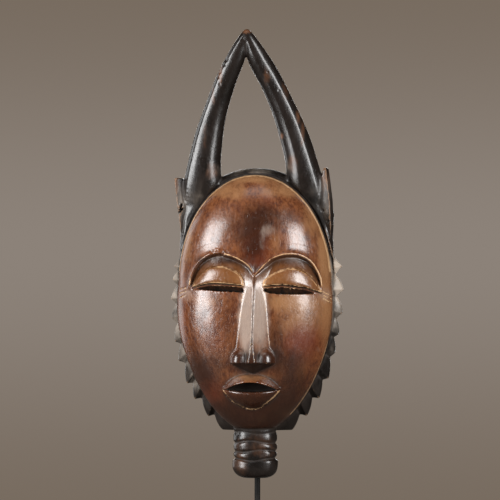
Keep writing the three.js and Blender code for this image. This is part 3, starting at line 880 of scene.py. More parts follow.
# Broad stains on the face, with painted shade and sheen in some of them: x, height, half width, half
# height, strength.
stains = {
    "ochre": [
        (0, 391, 32, 6, 0.95), (-30, 379, 18, 8, 0.8), (28, 379, 20, 8, 0.75), (52, 356, 10, 20, 0.6),
        (65, 322, 7, 34, 0.95), (-60, 336, 6, 26, 0.6), (34, 279, 26, 8, 0.85), (52, 262, 20, 17, 0.55),
        (64, 262, 6, 40, 0.6), (-40, 280, 24, 6, 0.4), (20, 331, 10, 10, 0.35), (-14, 376, 10, 8, 0.4),
        (44, 222, 10, 14, 0.35), (-8, 240, 26, 20, 0.15), (-1, 211.8, 23, 4, 0.65), (36, 299, 20, 7, 0.5),
        (30, 262, 12, 14, 0.3), (-9, 299, 6, 10, 0.75), (12.4, 298, 6, 10, 0.8), (30, 178, 12, 8, 0.5),
        (8, 174, 10, 5, 0.35),
    ],
    # a smoke stain, and painted shade on the chin and jaw, under the nose, on the nose's wings, at its
    # root and under the brows
    "smokeAndShade": [
        (10, 354, 22, 15, 0.85), (2, 331, 14, 22, 0.84), (-20, 346, 16, 12, 0.4), (34, 352, 10, 8, 0.35),
        (-4, 166, 44, 13, 0.9), (-4, 184, 46, 9, 0.8), (-42, 206, 20, 16, 0.5), (36, 204, 26, 20, 0.8),
        (-20, 262, 6, 26, 0.55), (22, 246, 7, 22, 0.5), (26, 226, 18, 10, 0.5), (-30, 222, 12, 12, 0.35),
        (-10, 230, 8, 8, 0.85), (13, 230, 8, 8, 0.7), (0, 192, 24, 9, 0.9), (0, 172, 34, 12, 0.9),
        (1.4, 231, 4, 12, 1.0), (2, 308, 9, 4, 0.6), (-6, 222, 20, 6, 0.5), (24, 190, 14, 12, 0.5),
        (-48, 214, 14, 18, 0.5), (-30, 316, 24, 4, 0.75), (38, 315, 20, 4, 0.6), (-56, 226, 10, 20, 0.4),
        (60, 236, 8, 12, 0.3), (-40, 232, 16, 22, 0.35), (40, 228, 14, 16, 0.35),
        (-18, 200, 12, 14, 0.35), (0, 219, 18, 4, 0.6),
    ],
    "red": [
        (-40, 196, 18, 20, 0.75), (-36, 246, 16, 22, 0.4), (4, 324, 14, 24, 0.8), (42, 236, 17, 20, 0.6),
        (-62, 262, 7, 34, 0.4), (60, 252, 10, 20, 0.4), (14, 366, 12, 10, 0.4), (46, 250, 13, 12, 0.45),
    ],
    "rubbedAndSheen": [
        (14.6, 343, 7, 6, 0.38), (10, 333, 4, 10, 0.3), (40, 300, 18, 6, 0.3), (-14, 311, 10, 4, 0.2),
        # the four patches on the sides of the nose are partly a painted sheen
        (-5, 262, 8, 26, 1.0), (8, 262, 8, 26, 0.9), (-3.5, 286, 5, 13, 0.8), (7, 286, 5, 13, 0.65),
        (-44, 384, 8, 8, 0.2), (60, 236, 5, 4, 0.3), (-58, 286, 7, 8, 0.4), (64, 286, 6, 8, 0.4),
    ],
}


# Patches on the black parts: grey, weathered wood that on the teeth is partly a painted sheen, strongest
# on the upper right ones, and brown where the black is rubbed thin.
blackStains = {
    "barkAndSheen": [
        (75, 308, 8, 14, 1.0), (76, 286, 7, 13, 0.95), (73, 262, 8, 13, 0.42), (67, 238, 8, 14, 0.18),
        (58, 212, 10, 14, 0.12), (44, 190, 12, 12, 0.06), (-74, 304, 9, 14, 0.5),
        (-75, 282, 8, 14, 0.58), (-71, 258, 9, 14, 0.46), (-64, 232, 9, 14, 0.36),
        (-54, 208, 10, 12, 0.3), (-42, 188, 10, 10, 0.12), (-30, 172, 12, 8, 0.05),
        (-69, 366, 7, 26, 0.22), (64, 372, 5, 26, 0.2), (0, 398, 40, 7, 0.28),
        (54, 370, 8, 20, 0.15), (-52, 366, 12, 22, 0.15),
    ],
    "amber": [
        (-6.4, 521, 5.4, 2.8, 0.62), (-30.4, 482, 2.6, 11, 0.6), (-37.4, 466, 2.2, 10, 0.5),
        (39, 446, 2.2, 10, 0.5), (43.2, 430, 2.2, 12, 0.5), (27.6, 468, 4.4, 12, 0.35),
        (24.2, 427.4, 2, 3, 0.8), (-38.8, 396, 6, 9, 0.4), (-45, 430, 3, 14, 0.35), (34, 402, 5, 10, 0.35),
        (0, 148, 24, 14, 0.36), (-12, 132, 10, 10, 0.34), (63, 388, 4, 14, 0.45), (-72, 384, 3, 10, 0.5),
        (12, 480, 4, 10, 0.35),
    ],
}


# Where edges are worn less than elsewhere: x, height, half width, half height, factor.
wearZones = [
    (-30, 288.6, 29, 3, 0.05), (35, 285.6, 29, 3, 0.05), (-1, 201, 31, 7, 0.15), (1, 221, 26, 6, 0.1),
    (-28, 316, 34, 13, 0.9), (34, 316, 34, 13, 0.8), (-50, 310, 11, 13, 0.4), (-36, 323, 9, 4, 0.5),
    (1.2, 234, 8, 12, 0.4), (-1, 207, 22, 3, 0.3), (-1, 212.5, 25, 4, 0.2), (-18, 208, 9, 6, 0.1),
    (17, 208, 9, 6, 0.1), (1.5, 268, 3, 30, 0.4),
]


# Lines where the stain is rubbed through: points, half width, strength.
noseSide = [
    (-10.6, 305), (-7.6, 297), (-6.9, 290), (-8.6, 280), (-10.2, 264), (-11.4, 251), (-12.8, 240),
]
noseRidge = [(2.8, 303), (2.7, 298), *((x, height) for height, x in nose["ridge"][1:-1]), (1.3, 241)]
lowerLipLine = [
    (-26.4, 200.4), (-21, 193), (-15.3, 188.4), (-2.7, 183.3),
    (6, 184.6), (11.9, 188.4), (20, 195), (24, 200),
]
rubbedLines = [
    (noseSide, 0.9, 0.6),
    ([(3.4 - x, z) for x, z in noseSide], 0.9, 0.7),
    ([(x - 1.5, z) for x, z in noseRidge[1:]], 0.45, 0.6),
    ([(x + 1.5, z) for x, z in noseRidge[1:]], 0.45, 0.4),
    ([(x, z + 0.3) for x, z in eyes["right"]["ledge"][2:]], 0.6, 0.6),
    ([(x, z + 0.3) for x, z in eyes["left"]["ledge"][2:]], 0.6, 0.7),
    ([(1.2, 243), (-0.4, 236), (-2, 225.8)], 0.5, 0.8),
    ([(1.6, 243), (2.8, 236), (4.2, 225.8)], 0.5, 0.6),
    (lowerLipLine, 0.8, 0.95),
    ([(x, z - 3.2) for x, z in eyes["right"]["brow"][1:-1]], 0.6, 0.5),
    (eyes["right"]["lid"], 1.2, 0.86),
    (eyes["left"]["lid"], 1.2, 0.78),
    ([(x, z + 0.6) for x, z in eyes["left"]["brow"][1:5]], 1.1, 0.5),
    ([(15.2, 462), (21.2, 437.7), (27.2, 415.2), (29.4, 401.7)], 0.8, 0.5),
    ([(-30.6, 444), (-31.4, 420), (-30.8, 398)], 0.7, 0.35),
    ([(61.5, 312), (65.6, 300), (67.4, 288)], 0.6, 0.4),
]
rubbedLines += [(stroke, 0.6, 1.0) for name in ("left", "right") for stroke in eyes[name]["strokes"]]
# The face's edge is rubbed along the hairline and the jaw: degrees, reach and depth, how much the
# depth counts, half width, strength.
rubbedEdge = [
    ((8, 172), (-1.1, 27.5), 0.25, 1.1, 1.0),
    ((285, 322), (-0.7, 25.2), 1, 1.9, 0.9),
    ((322, 366), (-0.7, 25.2), 1, 1.7, 0.65),
    ((196, 262), (-0.7, 25.2), 1, 1.4, 0.4),
]
# Painted shade: a dark line down the ridge of the nose, a broad dark band over the chin and the inner
# sides of the nose's wings.
paintedShadeLines = [
    (noseRidge, 0.75, 1.0),
    ([(-38, 186), (-14, 173), (12, 172), (34, 183)], 11, 0.4),
    ([(-3.6, 232), (-5.6, 228), (-6, 225)], 3, 0.9),
    ([(6.6, 232), (9, 228), (9.4, 225)], 3, 0.9),
]


def lineMap(rows):
    total = np.zeros(flatDome.shape)
    for points, halfWidth, strength in rows:
        line = smoothLine(points, 5)
        distance, _, _ = nearLine(line, flatX, flatZ)
        total = np.maximum(total, strength * np.exp(-((distance / halfWidth) ** 2)))
    return total


def edgeLines(at):
    # lines along the face's edge, at points of the surface
    total = np.zeros(len(at))
    out, level = sampleFlat(flatRadius - flatEdge, at), sampleFlat(degreesUp, at)
    turned = np.where(level < 90, level + 360, level)
    for (low, high), (reach, depth), steep, halfWidth, strength in rubbedEdge:
        angle = turned if high > 180 else level
        away = np.hypot(out - reach, steep * (at[:, 1] - depth))
        worn = strength * np.exp(-((away / halfWidth) ** 2))
        total = np.maximum(total, worn * ((angle > low) & (angle < high)))
    return total


def foldMap():
    # the folds beside the nose get little of the painted shade and grime of the creases
    beside = np.exp(-((np.maximum(np.abs(flatX - 1.6) - 14, 0) / 4) ** 2))
    return 1 - 0.85 * beside * smooth(228, 236, flatZ) * smooth(312, 304, flatZ)


def wearMap():
    total = np.ones(flatDome.shape)
    for x, z, halfWidth, halfHeight, factor in wearZones:
        away = ((flatX - x) / halfWidth) ** 2 + ((flatZ - z) / halfHeight) ** 2
        total = total * mix(1, factor, np.exp(-(away**1.6)))
    return total


def stainMap(rows):
    total = np.zeros(flatDome.shape)
    for x, z, halfWidth, halfHeight, strength in rows:
        away = ((flatX - x) / halfWidth) ** 2 + ((flatZ - z) / halfHeight) ** 2
        total = 1 - (1 - total) * (1 - strength * np.exp(-(away**1.3)))
    return total


def makeMask():
    sculptMask()
    print("mask: sculpted")
    field = trueDistance(wood)
    grid = openvdb.FloatGrid(clay["far"])
    grid.copyFromArray(wood, tolerance=0.0)
    grid.background = clay["far"]
    points, quads = grid.convertToQuads(isovalue=0.0)
    points = points * clay["cell"] + np.array([xs[0], ds[0], zs[0]])
    quads = biggestPart(points, quads.astype(np.int64))
    used, quads = np.unique(quads, return_inverse=True)
    points, quads = points[used], quads.reshape(-1, 4)
    piece = meshFrom("mask_carving", toFrame(points), quads[:, ::-1])
    print("mask: meshed,", len(quads), "quads")
    reduce = piece.modifiers.new("reduce", "DECIMATE")
    reduce.ratio = clay["triangles"] / (2 * len(quads))
    applyModifiers(piece)
    mesh = piece.data
    mesh.name = "mask_carving"
    print("mask: reduced to", len(mesh.polygons), "faces")
    at = np.zeros(len(mesh.vertices) * 3, np.float32)
    mesh.vertices.foreach_get("co", at)
    at = toClay(at.reshape(-1, 3).astype(float))
    normal = slopeAt(field, at)
    mesh.polygons.foreach_set("use_smooth", np.ones(len(mesh.polygons), bool))
    mesh.normals_split_custom_set_from_vertices(np.stack([normal[:, 0], -normal[:, 1], normal[:, 2]], 1))
    paintMasks(mesh, at, normal, field)
    return piece


# How the masks that the stain follows are read off the surface. Lengths are in millimetres, and
# "looks" values are parts of the normal: 1 is straight forward or up, -1 straight back or down.
surface = {
    "fineBlur": 2,
    "broadBlur": 5,
    "looksForward": (0.1, 0.4),
    "looksDown": (-0.3, -0.6),
    "looksBack": 0.1,
    "looksStraightBack": -0.9,
    "edgeFrom": 0.16,
    "edgeRun": 0.34,
    "fineFold": 0.3,
    "broadFold": 0.9,
    "socketFold": 0.75,
    "browShade": 0.4,
    "underNose": {"x": 1, "halfWidth": 21, "height": 218, "halfHeight": 10, "over": 0.6},
    "underLids": {"x": 0, "halfWidth": 62, "height": 288, "halfHeight": 8, "over": -4},
    "faceEdge": (-1.0, 0.4),
    "faceBack": (21.5, 19.5),
    "chin": (167, 165),
    "chinHalf": 23,
    "scoopDepth": 47,
    "scoopLow": 160,
    "scoopMargin": 0.02,
    "wall": (1.2, 2.6),
    "wallInset": 4,
}


def underside(at, dome, x, halfWidth, height, halfHeight, over):
    # points in one zone of the front that stand more than this over the dome
    zone = (np.abs(at[:, 0] - x) < halfWidth) & (np.abs(at[:, 2] - height) < halfHeight)
    return zone & (at[:, 1] > dome + over)


def paintMasks(mesh, at, normal, field):
    # masks that the stain follows, one number for each point of the surface
    dome = sampleFlat(flatDome, at)
    out = sampleFlat(flatRadius - flatEdge, at)
    fine = sample(boxBlur(field, surface["fineBlur"]), at)
    broad = sample(boxBlur(field, surface["broadBlur"]), at)
    front = smooth(*surface["looksForward"], normal[:, 1])
    drawn = np.maximum(sampleFlat(lineMap(rubbedLines), at) * front, edgeLines(at))
    sharp = np.clip((fine - surface["edgeFrom"]) / surface["edgeRun"], 0, 1)
    setFloats(mesh, "edge", np.maximum(sharp * sampleFlat(wearMap(), at), drawn))
    # painted shade: the undersides of the nose and of the lids are dark where they face down, and so is a
    # band under each brow
    under = underside(at, dome, **surface["underNose"]) | underside(at, dome, **surface["underLids"])
    shade = smooth(*surface["looksDown"], normal[:, 2]) * under
    shade = np.maximum(shade, sampleFlat(shadeMap, at) * surface["browShade"])
    setFloats(mesh, "paintedShade", np.maximum(sampleFlat(lineMap(paintedShadeLines), at) * front, shade))
    # the creases: concave places, darkened later as painted shade and grime, and holding dust
    fold = np.clip(-fine / surface["fineFold"], 0, 1) * 0.5
    fold = fold + np.clip(-broad / surface["broadFold"], 0, 1) * 0.5
    fold = fold * (1 - surface["socketFold"] * sampleFlat(socketMap, at))
    setFloats(mesh, "crease", fold * sampleFlat(foldMap(), at))
    # all beyond the face is black; the walls deep inside the eye slits and the mouth are made black too,
    # as painted shade
    beyond = np.maximum(smooth(*surface["faceEdge"], out), smooth(*surface["faceBack"], at[:, 1]))
    chin = smooth(*surface["chin"], at[:, 2]) * (np.abs(at[:, 0]) < surface["chinHalf"])
    beyond = np.maximum(beyond, chin)
    scoop = sampleFlat(flatPart, at) < hollow["reach"] + surface["scoopMargin"]
    scoop = scoop & (normal[:, 1] < surface["looksBack"]) & (at[:, 1] < surface["scoopDepth"])
    scoop = scoop & (at[:, 2] > surface["scoopLow"])
    inWall = smooth(*surface["wall"], dome + sampleFlat(relief, at) - at[:, 1])
    inWall = inWall * (out < -surface["wallInset"]) * ~scoop
    setFloats(mesh, "dark", np.clip(np.maximum(beyond, inWall), 0, 1))
    setFloats(mesh, "bare", scoop | (normal[:, 1] < surface["looksStraightBack"]))
    for name, rows in stains.items():
        setFloats(mesh, name, sampleFlat(stainMap(rows), at) * (1 - np.clip(beyond, 0, 1)))
    for name, rows in blackStains.items():
        setFloats(mesh, name, sampleFlat(stainMap(rows), at) * np.clip(beyond, 0, 1))
    setFloats(mesh, "socket", sampleFlat(socketMap, at))
    setFloats(mesh, "lid", sampleFlat(lidMap, at))


def newGroup(name, inputs, outputs):
    # a shader node group, its given values and the sockets that it fills
    tree = bpy.data.node_groups.new(name, "ShaderNodeTree")
    for label, value in inputs.items():
        socket = tree.interface.new_socket(label, in_out="INPUT", socket_type="NodeSocketFloat")
        socket.default_value = value
    for label in outputs:
        tree.interface.new_socket(label, in_out="OUTPUT", socket_type="NodeSocketFloat")
    return tree, tree.nodes.new("NodeGroupInput").outputs, tree.nodes.new("NodeGroupOutput").inputs


def plug(tree, value, socket):
    if isinstance(value, bpy.types.NodeSocket):
        tree.links.new(value, socket)
    else:
        socket.default_value = value


def calc(tree, operation, a, b, clamp=False):
    node = tree.nodes.new("ShaderNodeMath")
    node.operation = operation
    node.use_clamp = clamp
    for socket, value in zip(node.inputs, (a, b)):
        plug(tree, value, socket)
    return node.outputs[0]


def times(tree, a, b, clamp=False):
    return calc(tree, "MULTIPLY", a, b, clamp)


def plus(tree, a, b, clamp=False):
    return calc(tree, "ADD", a, b, clamp)


def larger(tree, a, b):
    return calc(tree, "MAXIMUM", a, b)


def weighted(tree, total, parts):
    # the total with each part added to it at its own share
    for value, share in parts:
        total = plus(tree, total, times(tree, value, share))
    return total


def noise(tree, vector, scale, detail=3.0, roughness=0.55, distortion=0.0):
    node = tree.nodes.new("ShaderNodeTexNoise")
    plug(tree, vector, node.inputs["Vector"])
    plug(tree, scale, node.inputs["Scale"])
    node.inputs["Detail"].default_value = detail
    node.inputs["Roughness"].default_value = roughness
    node.inputs["Distortion"].default_value = distortion
    return node.outputs["Fac"]


def remap(tree, value, low, high, toLow=0.0, toHigh=1.0):
    node = tree.nodes.new("ShaderNodeMapRange")
    node.interpolation_type = "SMOOTHSTEP"
    limits = {"Value": value, "From Min": low, "From Max": high, "To Min": toLow, "To Max": toHigh}
    for label, number in limits.items():
        plug(tree, number, node.inputs[label])
    return node.outputs["Result"]


def tint(tree, share, a, b):
    # a share of colour b over colour a
    node = tree.nodes.new("ShaderNodeMix")
    node.data_type = "RGBA"
    plug(tree, share, node.inputs[0])
    plug(tree, a, node.inputs[6])
    plug(tree, b, node.inputs[7])
    return node.outputs[2]


def stretched(tree, scale=(1, 1, 1), turn=(0, 0, 0)):
    # the piece's own coordinates, stretched where the scale is under 1
    place = tree.nodes.new("ShaderNodeTexCoord").outputs["Object"]
    mapping = tree.nodes.new("ShaderNodeMapping")
    tree.links.new(place, mapping.inputs["Vector"])
    mapping.inputs["Scale"].default_value = scale
    mapping.inputs["Rotation"].default_value = turn
    return mapping.outputs["Vector"]


def grainGroup():
    # upright wood grain: fine streaks, long dark pores and broad cloudy variation
    tree, given, made = newGroup(
        "woodGrain",
        {"Streaks": 360.0, "Pores": 900.0, "Clouds": 26.0, "Mottles": 120.0},
        ["Streak", "Pore", "Cloud", "Mottle", "Speck"],
    )
    long = stretched(tree, (1, 1, 0.1), (0.02, 0.05, 0))
    tree.links.new(noise(tree, long, given["Streaks"], 4, 0.65, 0.5), made["Streak"])
    pores = noise(tree, stretched(tree, (1, 1, 0.26)), given["Pores"], 2, 0.6)
    tree.links.new(remap(tree, pores, 0.6, 0.7), made["Pore"])
    cloud = noise(tree, stretched(tree, (1, 1, 0.7)), given["Clouds"], 5, 0.66, 0.8)
    tree.links.new(cloud, made["Cloud"])
    mottles = given["Mottles"]
    tree.links.new(noise(tree, stretched(tree, (1, 1, 0.6)), mottles, 4, 0.62, 0.3), made["Mottle"])
    fine = times(tree, mottles, 3.6)
    tree.links.new(noise(tree, stretched(tree, (1, 1, 0.45)), fine, 3, 0.7, 0.4), made["Speck"])
    return tree


def wearGroup():
    # a worn edge: an edge mask broken up by noise
    tree, given, made = newGroup("edgeWear", {"Edge": 0.0, "Amount": 0.5, "Breakup": 180.0}, ["Worn"])
    rough = noise(tree, stretched(tree, (1, 1, 0.5)), given["Breakup"], 4, 0.65)
    lifted = plus(tree, given["Edge"], times(tree, calc(tree, "SUBTRACT", rough, 0.5), 1.1))
    level = calc(tree, "SUBTRACT", 1.0, given["Amount"])
    worn = remap(tree, lifted, level, plus(tree, level, 0.3))
    tree.links.new(times(tree, worn, remap(tree, given["Edge"], 0.02, 0.2)), made["Worn"])
    return tree


def scuffGroup():
    # small pale scuffs and pits, and fine crossing scratches
    tree, given, made = newGroup("scuffs", {"Size": 420.0, "Share": 0.3}, ["Scuff", "Scratch", "Pit"])
    level = calc(tree, "SUBTRACT", 0.78, times(tree, given["Share"], 0.2))
    spots = noise(tree, stretched(tree, (1, 1, 0.8)), given["Size"], 3, 0.7)
    zones = noise(tree, stretched(tree), 38.0, 2, 0.5)
    scuff = remap(tree, spots, level, plus(tree, level, 0.12))
    tree.links.new(times(tree, scuff, remap(tree, zones, 0.45, 0.65)), made["Scuff"])
    lines = 0.0
    for turn, scale in (((0, 0.7, 0), 300.0), ((0, -0.5, 0), 380.0)):
        streak = noise(tree, stretched(tree, (1, 1, 0.03), turn), scale, 1, 0.5, 0.2)
        lines = larger(tree, lines, remap(tree, streak, 0.7, 0.78))
    tree.links.new(times(tree, lines, remap(tree, zones, 0.5, 0.7)), made["Scratch"])
    pits = noise(tree, stretched(tree), times(tree, given["Size"], 1.6), 1, 0.5)
    tree.links.new(remap(tree, pits, 0.72, 0.8), made["Pit"])
    return tree


def dustGroup():
    # grey dust held in the creases
    tree, given, made = newGroup("dust", {"Crease": 0.0, "Amount": 0.5}, ["Dust"])
    patch = noise(tree, stretched(tree), 60.0, 4, 0.6)
    held = times(tree, given["Crease"], remap(tree, patch, 0.35, 0.7))
    tree.links.new(times(tree, held, given["Amount"], True), made["Dust"])
    return tree


groupMakers = {"woodGrain": grainGroup, "edgeWear": wearGroup, "scuffs": scuffGroup, "dust": dustGroup}
groups = {}


def placeGroup(tree, name, **values):
    # a group is made once and placed with each material's own values
    if name not in groups:
        groups[name] = groupMakers[name]()
    node = tree.nodes.new("ShaderNodeGroup")
    node.node_tree = groups[name]
    for label, value in values.items():
        plug(tree, value, node.inputs[label])
    return node.outputs


def newMaterial(name):
    material = bpy.data.materials.new(name)
    material.use_nodes = True
    tree = material.node_tree
    return material, tree, tree.nodes["Principled BSDF"]


def attribute(tree, name):
    node = tree.nodes.new("ShaderNodeAttribute")
    node.attribute_name = name
    return node.outputs["Fac"]


def bumped(tree, shader, height, distance):
    node = tree.nodes.new("ShaderNodeBump")
    node.inputs["Strength"].default_value = 1.0
    node.inputs["Distance"].default_value = distance
    tree.links.new(height, node.inputs["Height"])
    tree.links.new(node.outputs["Normal"], shader.inputs["Normal"])


def srgb(red, green, blue):
    def level(value):
        value /= 255
        return value / 12.92 if value <= 0.04045 else ((value + 0.055) / 1.055) ** 2.4

    return (level(red), level(green), level(blue), 1.0)


# The stained wood: colours, how strongly each layer covers the ones under it, and the shine.
stain = {
    "brown": srgb(104, 61, 34),
    "deep": srgb(64, 32, 19),
    "ochre": srgb(125, 88, 58),
    "smokeAndShade": srgb(36, 17, 9),
    "red": srgb(86, 34, 17),
    "rubbedAndSheen": srgb(158, 141, 129),
    "olive": srgb(80, 48, 20),
    "lid": srgb(102, 65, 34),
    "black": srgb(29, 23, 20),
    "blackDeep": srgb(14, 11, 9),
    "barkAndSheen": srgb(168, 154, 140),
    "amber": srgb(98, 64, 42),
    "worn": srgb(194, 156, 116),
    "wornDark": srgb(132, 102, 78),
    "bare": srgb(124, 92, 66),
    "grimeAndShade": srgb(26, 17, 13),
    "dust": srgb(128, 118, 104),
    "fibre": {"Streak": 0.17, "Speck": 0.43, "Mottle": 0.4},
    "fibreRange": (0.37, 0.6),
    "wander": {"Cloud": 1.1, "Mottle": 0.65},
    "softness": {"ochre": 0.42, "red": 0.42, "smokeAndShade": 0.42, "rubbedAndSheen": 0.42, "amber": 0.4, "barkAndSheen": 0.5},
    "strength": {
        "red": 0.8, "socket": 0.7, "lid": 0.7, "smokeAndShade": 0.9, "rubbedAndSheen": 0.75, "scuff": 0.4,
        "barkAndSheen": 0.9, "pore": 0.15, "paintedShade": 0.9, "dust": 0.12,
    },
    "grimeAndShadeHeld": (0.35, 0.9),
    "wornStrength": (0.72, 0.5),
    "scuffs": {"Size": 420.0, "Share": 0.42},
    "wear": {"Amount": 0.5, "Breakup": 260.0},
    "dustAmount": 0.5,
    "roughness": (0.24, 0.33),
    "speckRoughness": (-0.03, 0.06),
    "rougher": {"matt": 0.3, "scuff": 0.12, "worn": 0.1, "paintedShade": 0.2, "crease": 0.35, "bare": 0.35},
    "amberMatt": 0.5,
    "mattDull": 0.8,
    "coat": 0.56,
    "darkCoat": 0.5,
    "coatRoughness": 0.2,
    "ior": 1.35,
    "relief": 0.001,
    "darkRelief": 0.5,
    "reliefShares": {"Mottle": 0.45, "Cloud": 0.9, "Streak": 0.08, "Speck": 0.15, "Pore": -0.05},
    "scuffRelief": {"Scratch": -0.04, "Pit": -0.02},
}


def maskWood():
    material, tree, shader = newMaterial("stained_wood_mask")
    grain = placeGroup(tree, "woodGrain")
    scuffs = placeGroup(tree, "scuffs", **stain["scuffs"])
    wear = placeGroup(tree, "edgeWear", Edge=attribute(tree, "edge"), **stain["wear"])
    dust = placeGroup(tree, "dust", Crease=attribute(tree, "crease"), Amount=stain["dustAmount"])
    dark = attribute(tree, "dark")
    strength, rougher = stain["strength"], stain["rougher"]

    def patch(name):
        # a stain's edge wanders with the clouds and the mottles of the wood
        lifted, softness = attribute(tree, name), stain["softness"][name]
        for part, share in stain["wander"].items():
            lifted = plus(tree, lifted, times(tree, calc(tree, "SUBTRACT", grain[part], 0.5), share))
        shown = remap(tree, lifted, 0.5 - softness, 0.5 + softness)
        return times(tree, shown, remap(tree, attribute(tree, name), 0.0, 0.25))

    def covered(colour, name, share, over):
        return tint(tree, times(tree, share, strength[name]), colour, stain[over])

    fibre = weighted(tree, 0.0, [(grain[part], share) for part, share in stain["fibre"].items()])
    colour = tint(tree, remap(tree, fibre, *stain["fibreRange"]), stain["deep"], stain["brown"])
    colour = tint(tree, patch("ochre"), colour, stain["ochre"])
    colour = covered(colour, "red", patch("red"), "red")
    colour = covered(colour, "socket", attribute(tree, "socket"), "olive")
    colour = covered(colour, "lid", attribute(tree, "lid"), "lid")
    # smoke stain and painted shade
    colour = covered(colour, "smokeAndShade", patch("smokeAndShade"), "smokeAndShade")
    # rubbed through, and a painted sheen on the sides of the nose
    colour = covered(colour, "rubbedAndSheen", patch("rubbedAndSheen"), "rubbedAndSheen")
    colour = covered(colour, "scuff", scuffs["Scuff"], "rubbedAndSheen")
    black = tint(tree, remap(tree, grain["Cloud"], 0.3, 0.7), stain["blackDeep"], stain["black"])
    black = tint(tree, patch("amber"), black, stain["amber"])
    # weathered grey, and a painted sheen on the teeth
    black = covered(black, "barkAndSheen", patch("barkAndSheen"), "barkAndSheen")
    colour = tint(tree, dark, colour, black)
    colour = covered(colour, "pore", grain["Pore"], "blackDeep")
    # painted shade under the nose, lids and brows, and along the shade lines
    colour = covered(colour, "paintedShade", attribute(tree, "paintedShade"), "grimeAndShade")
    # painted shade and grime: the creases are darker
    held = remap(tree, grain["Mottle"], 0.25, 0.6, *stain["grimeAndShadeHeld"])
    creaseGrimeAndShade = times(tree, attribute(tree, "crease"), held, True)
    colour = tint(tree, creaseGrimeAndShade, colour, stain["grimeAndShade"])
    wornTone = tint(tree, dark, stain["worn"], stain["wornDark"])
    wornShare = times(tree, wear["Worn"], remap(tree, dark, 0.0, 1.0, *stain["wornStrength"]))
    colour = tint(tree, wornShare, colour, wornTone)
    colour = covered(colour, "dust", dust["Dust"], "dust")
    bareTone = tint(tree, remap(tree, grain["Streak"], 0.3, 0.7), stain["deep"], stain["bare"])
    colour = tint(tree, attribute(tree, "bare"), colour, bareTone)
    tree.links.new(colour, shader.inputs["Base Color"])

    rough = remap(tree, grain["Cloud"], 0.25, 0.75, *stain["roughness"])
    rough = plus(tree, rough, remap(tree, grain["Speck"], 0.4, 0.7, *stain["speckRoughness"]))
    amber = times(tree, attribute(tree, "amber"), stain["amberMatt"])
    matt = larger(tree, attribute(tree, "barkAndSheen"), amber)
    layers = {"matt": matt, "scuff": scuffs["Scuff"], "worn": wear["Worn"]}
    layers.update((name, attribute(tree, name)) for name in ("paintedShade", "crease"))
    rough = weighted(tree, rough, [(layer, rougher[name]) for name, layer in layers.items()])
    rough = plus(tree, rough, times(tree, attribute(tree, "bare"), rougher["bare"]), True)
    tree.links.new(rough, shader.inputs["Roughness"])
    shader.inputs["IOR"].default_value = stain["ior"]
    dull = times(tree, matt, stain["mattDull"])
    for name in ("bare", "paintedShade", "crease"):
        dull = larger(tree, dull, attribute(tree, name))
    gloss = remap(tree, dull, 0.0, 1.0, stain["coat"], 0.0)
    gloss = times(tree, gloss, remap(tree, dark, 0.0, 1.0, 1.0, stain["darkCoat"]))
    tree.links.new(gloss, shader.inputs["Coat Weight"])
    shader.inputs["Coat Roughness"].default_value = stain["coatRoughness"]

    parts = [(grain[name], share) for name, share in stain["reliefShares"].items()]
    parts += [(scuffs[name], share) for name, share in stain["scuffRelief"].items()]
    height = weighted(tree, 0.0, parts)
    height = times(tree, height, remap(tree, dark, 0.0, 1.0, 1.0, stain["darkRelief"]))
    bumped(tree, shader, height, stain["relief"])
    return material


# The stand, in metres: a rod that bends in under the hollow's roof, and a steel foot.
stand = {
    "rodRadius": 0.0026,
    "rodSides": 40,
    "rodEnd": 0.0006,
    "bendFrom": 0.334,
    "bendPull": (0.5, 0.4),
    "bendSteps": 24,
    "barHeight": 0.3704,
    "barHalf": 0.012,
    "barBevel": 0.0005,
    "socketFloor": 0.0026,
    "socketBevel": 0.0004,
    "clearance": 0.0003,
    "footRadius": 0.004,
    "footBevel": 0.001,
    "bevelSteps": 4,
    "paint": srgb(16, 15, 14),
    "paintPale": srgb(23, 22, 21),
    "paintWorn": srgb(96, 92, 88),
    "paintRoughness": (0.5, 0.62),
    "paintGloss": 0.07,
    "paintRelief": 0.00008,
    "edgeRun": 0.0011,
    "scuffs": {"Size": 700.0, "Share": 0.35},
    "wear": {"Amount": 0.35, "Breakup": 300.0},
    "dust": {"Crease": 0.6, "Amount": 0.35},
    "strength": {"worn": 0.5, "dust": 0.15, "scuffRoughness": 0.15, "scratchRelief": -0.6},
}


def tubeRings(path, radii, sides):
    rings = []
    for i, point in enumerate(path):
        ahead = (path[min(i + 1, len(path) - 1)] - path[max(i - 1, 0)]).normalized()
        side = Vector((1, 0, 0)) if abs(ahead.x) < 0.5 else Vector((0, 1, 0))
        side = (side - ahead * side.dot(ahead)).normalized()
        other = ahead.cross(side)
        for n in range(sides):
            turn = 2 * math.pi * n / sides
            rings.append(point + radii[i] * (side * math.cos(turn) + other * math.sin(turn)))
    return rings


def tube(name, path, radii, sides):
    faces = []
    for ring in range(len(path) - 1):
        faces += ringFaces(ring * sides, sides)
    last = (len(path) - 1) * sides
    faces.append(tuple(reversed(range(sides))))
    faces.append(tuple(last + n for n in range(sides)))
    return pieceFrom(name, tubeRings(path, radii, sides), faces)


def shadeByAngle(piece, degrees):
    mesh = piece.data
    mesh.polygons.foreach_set("use_smooth", np.ones(len(mesh.polygons), bool))
    mesh.set_sharp_from_angle(angle=math.radians(degrees))


def joinInto(first, *others):
    # one mesh out of several pieces
    points, faces = [], []
    for piece in (first, *others):
        start = len(points)
        points += [v.co.copy() for v in piece.data.vertices]
        faces += [tuple(start + i for i in p.vertices) for p in piece.data.polygons]
    for piece in others:
        bpy.data.objects.remove(piece)
    mesh = bpy.data.meshes.new(first.name)
    mesh.from_pydata(points, [], faces)
    mesh.update()
    first.data = mesh
    return first


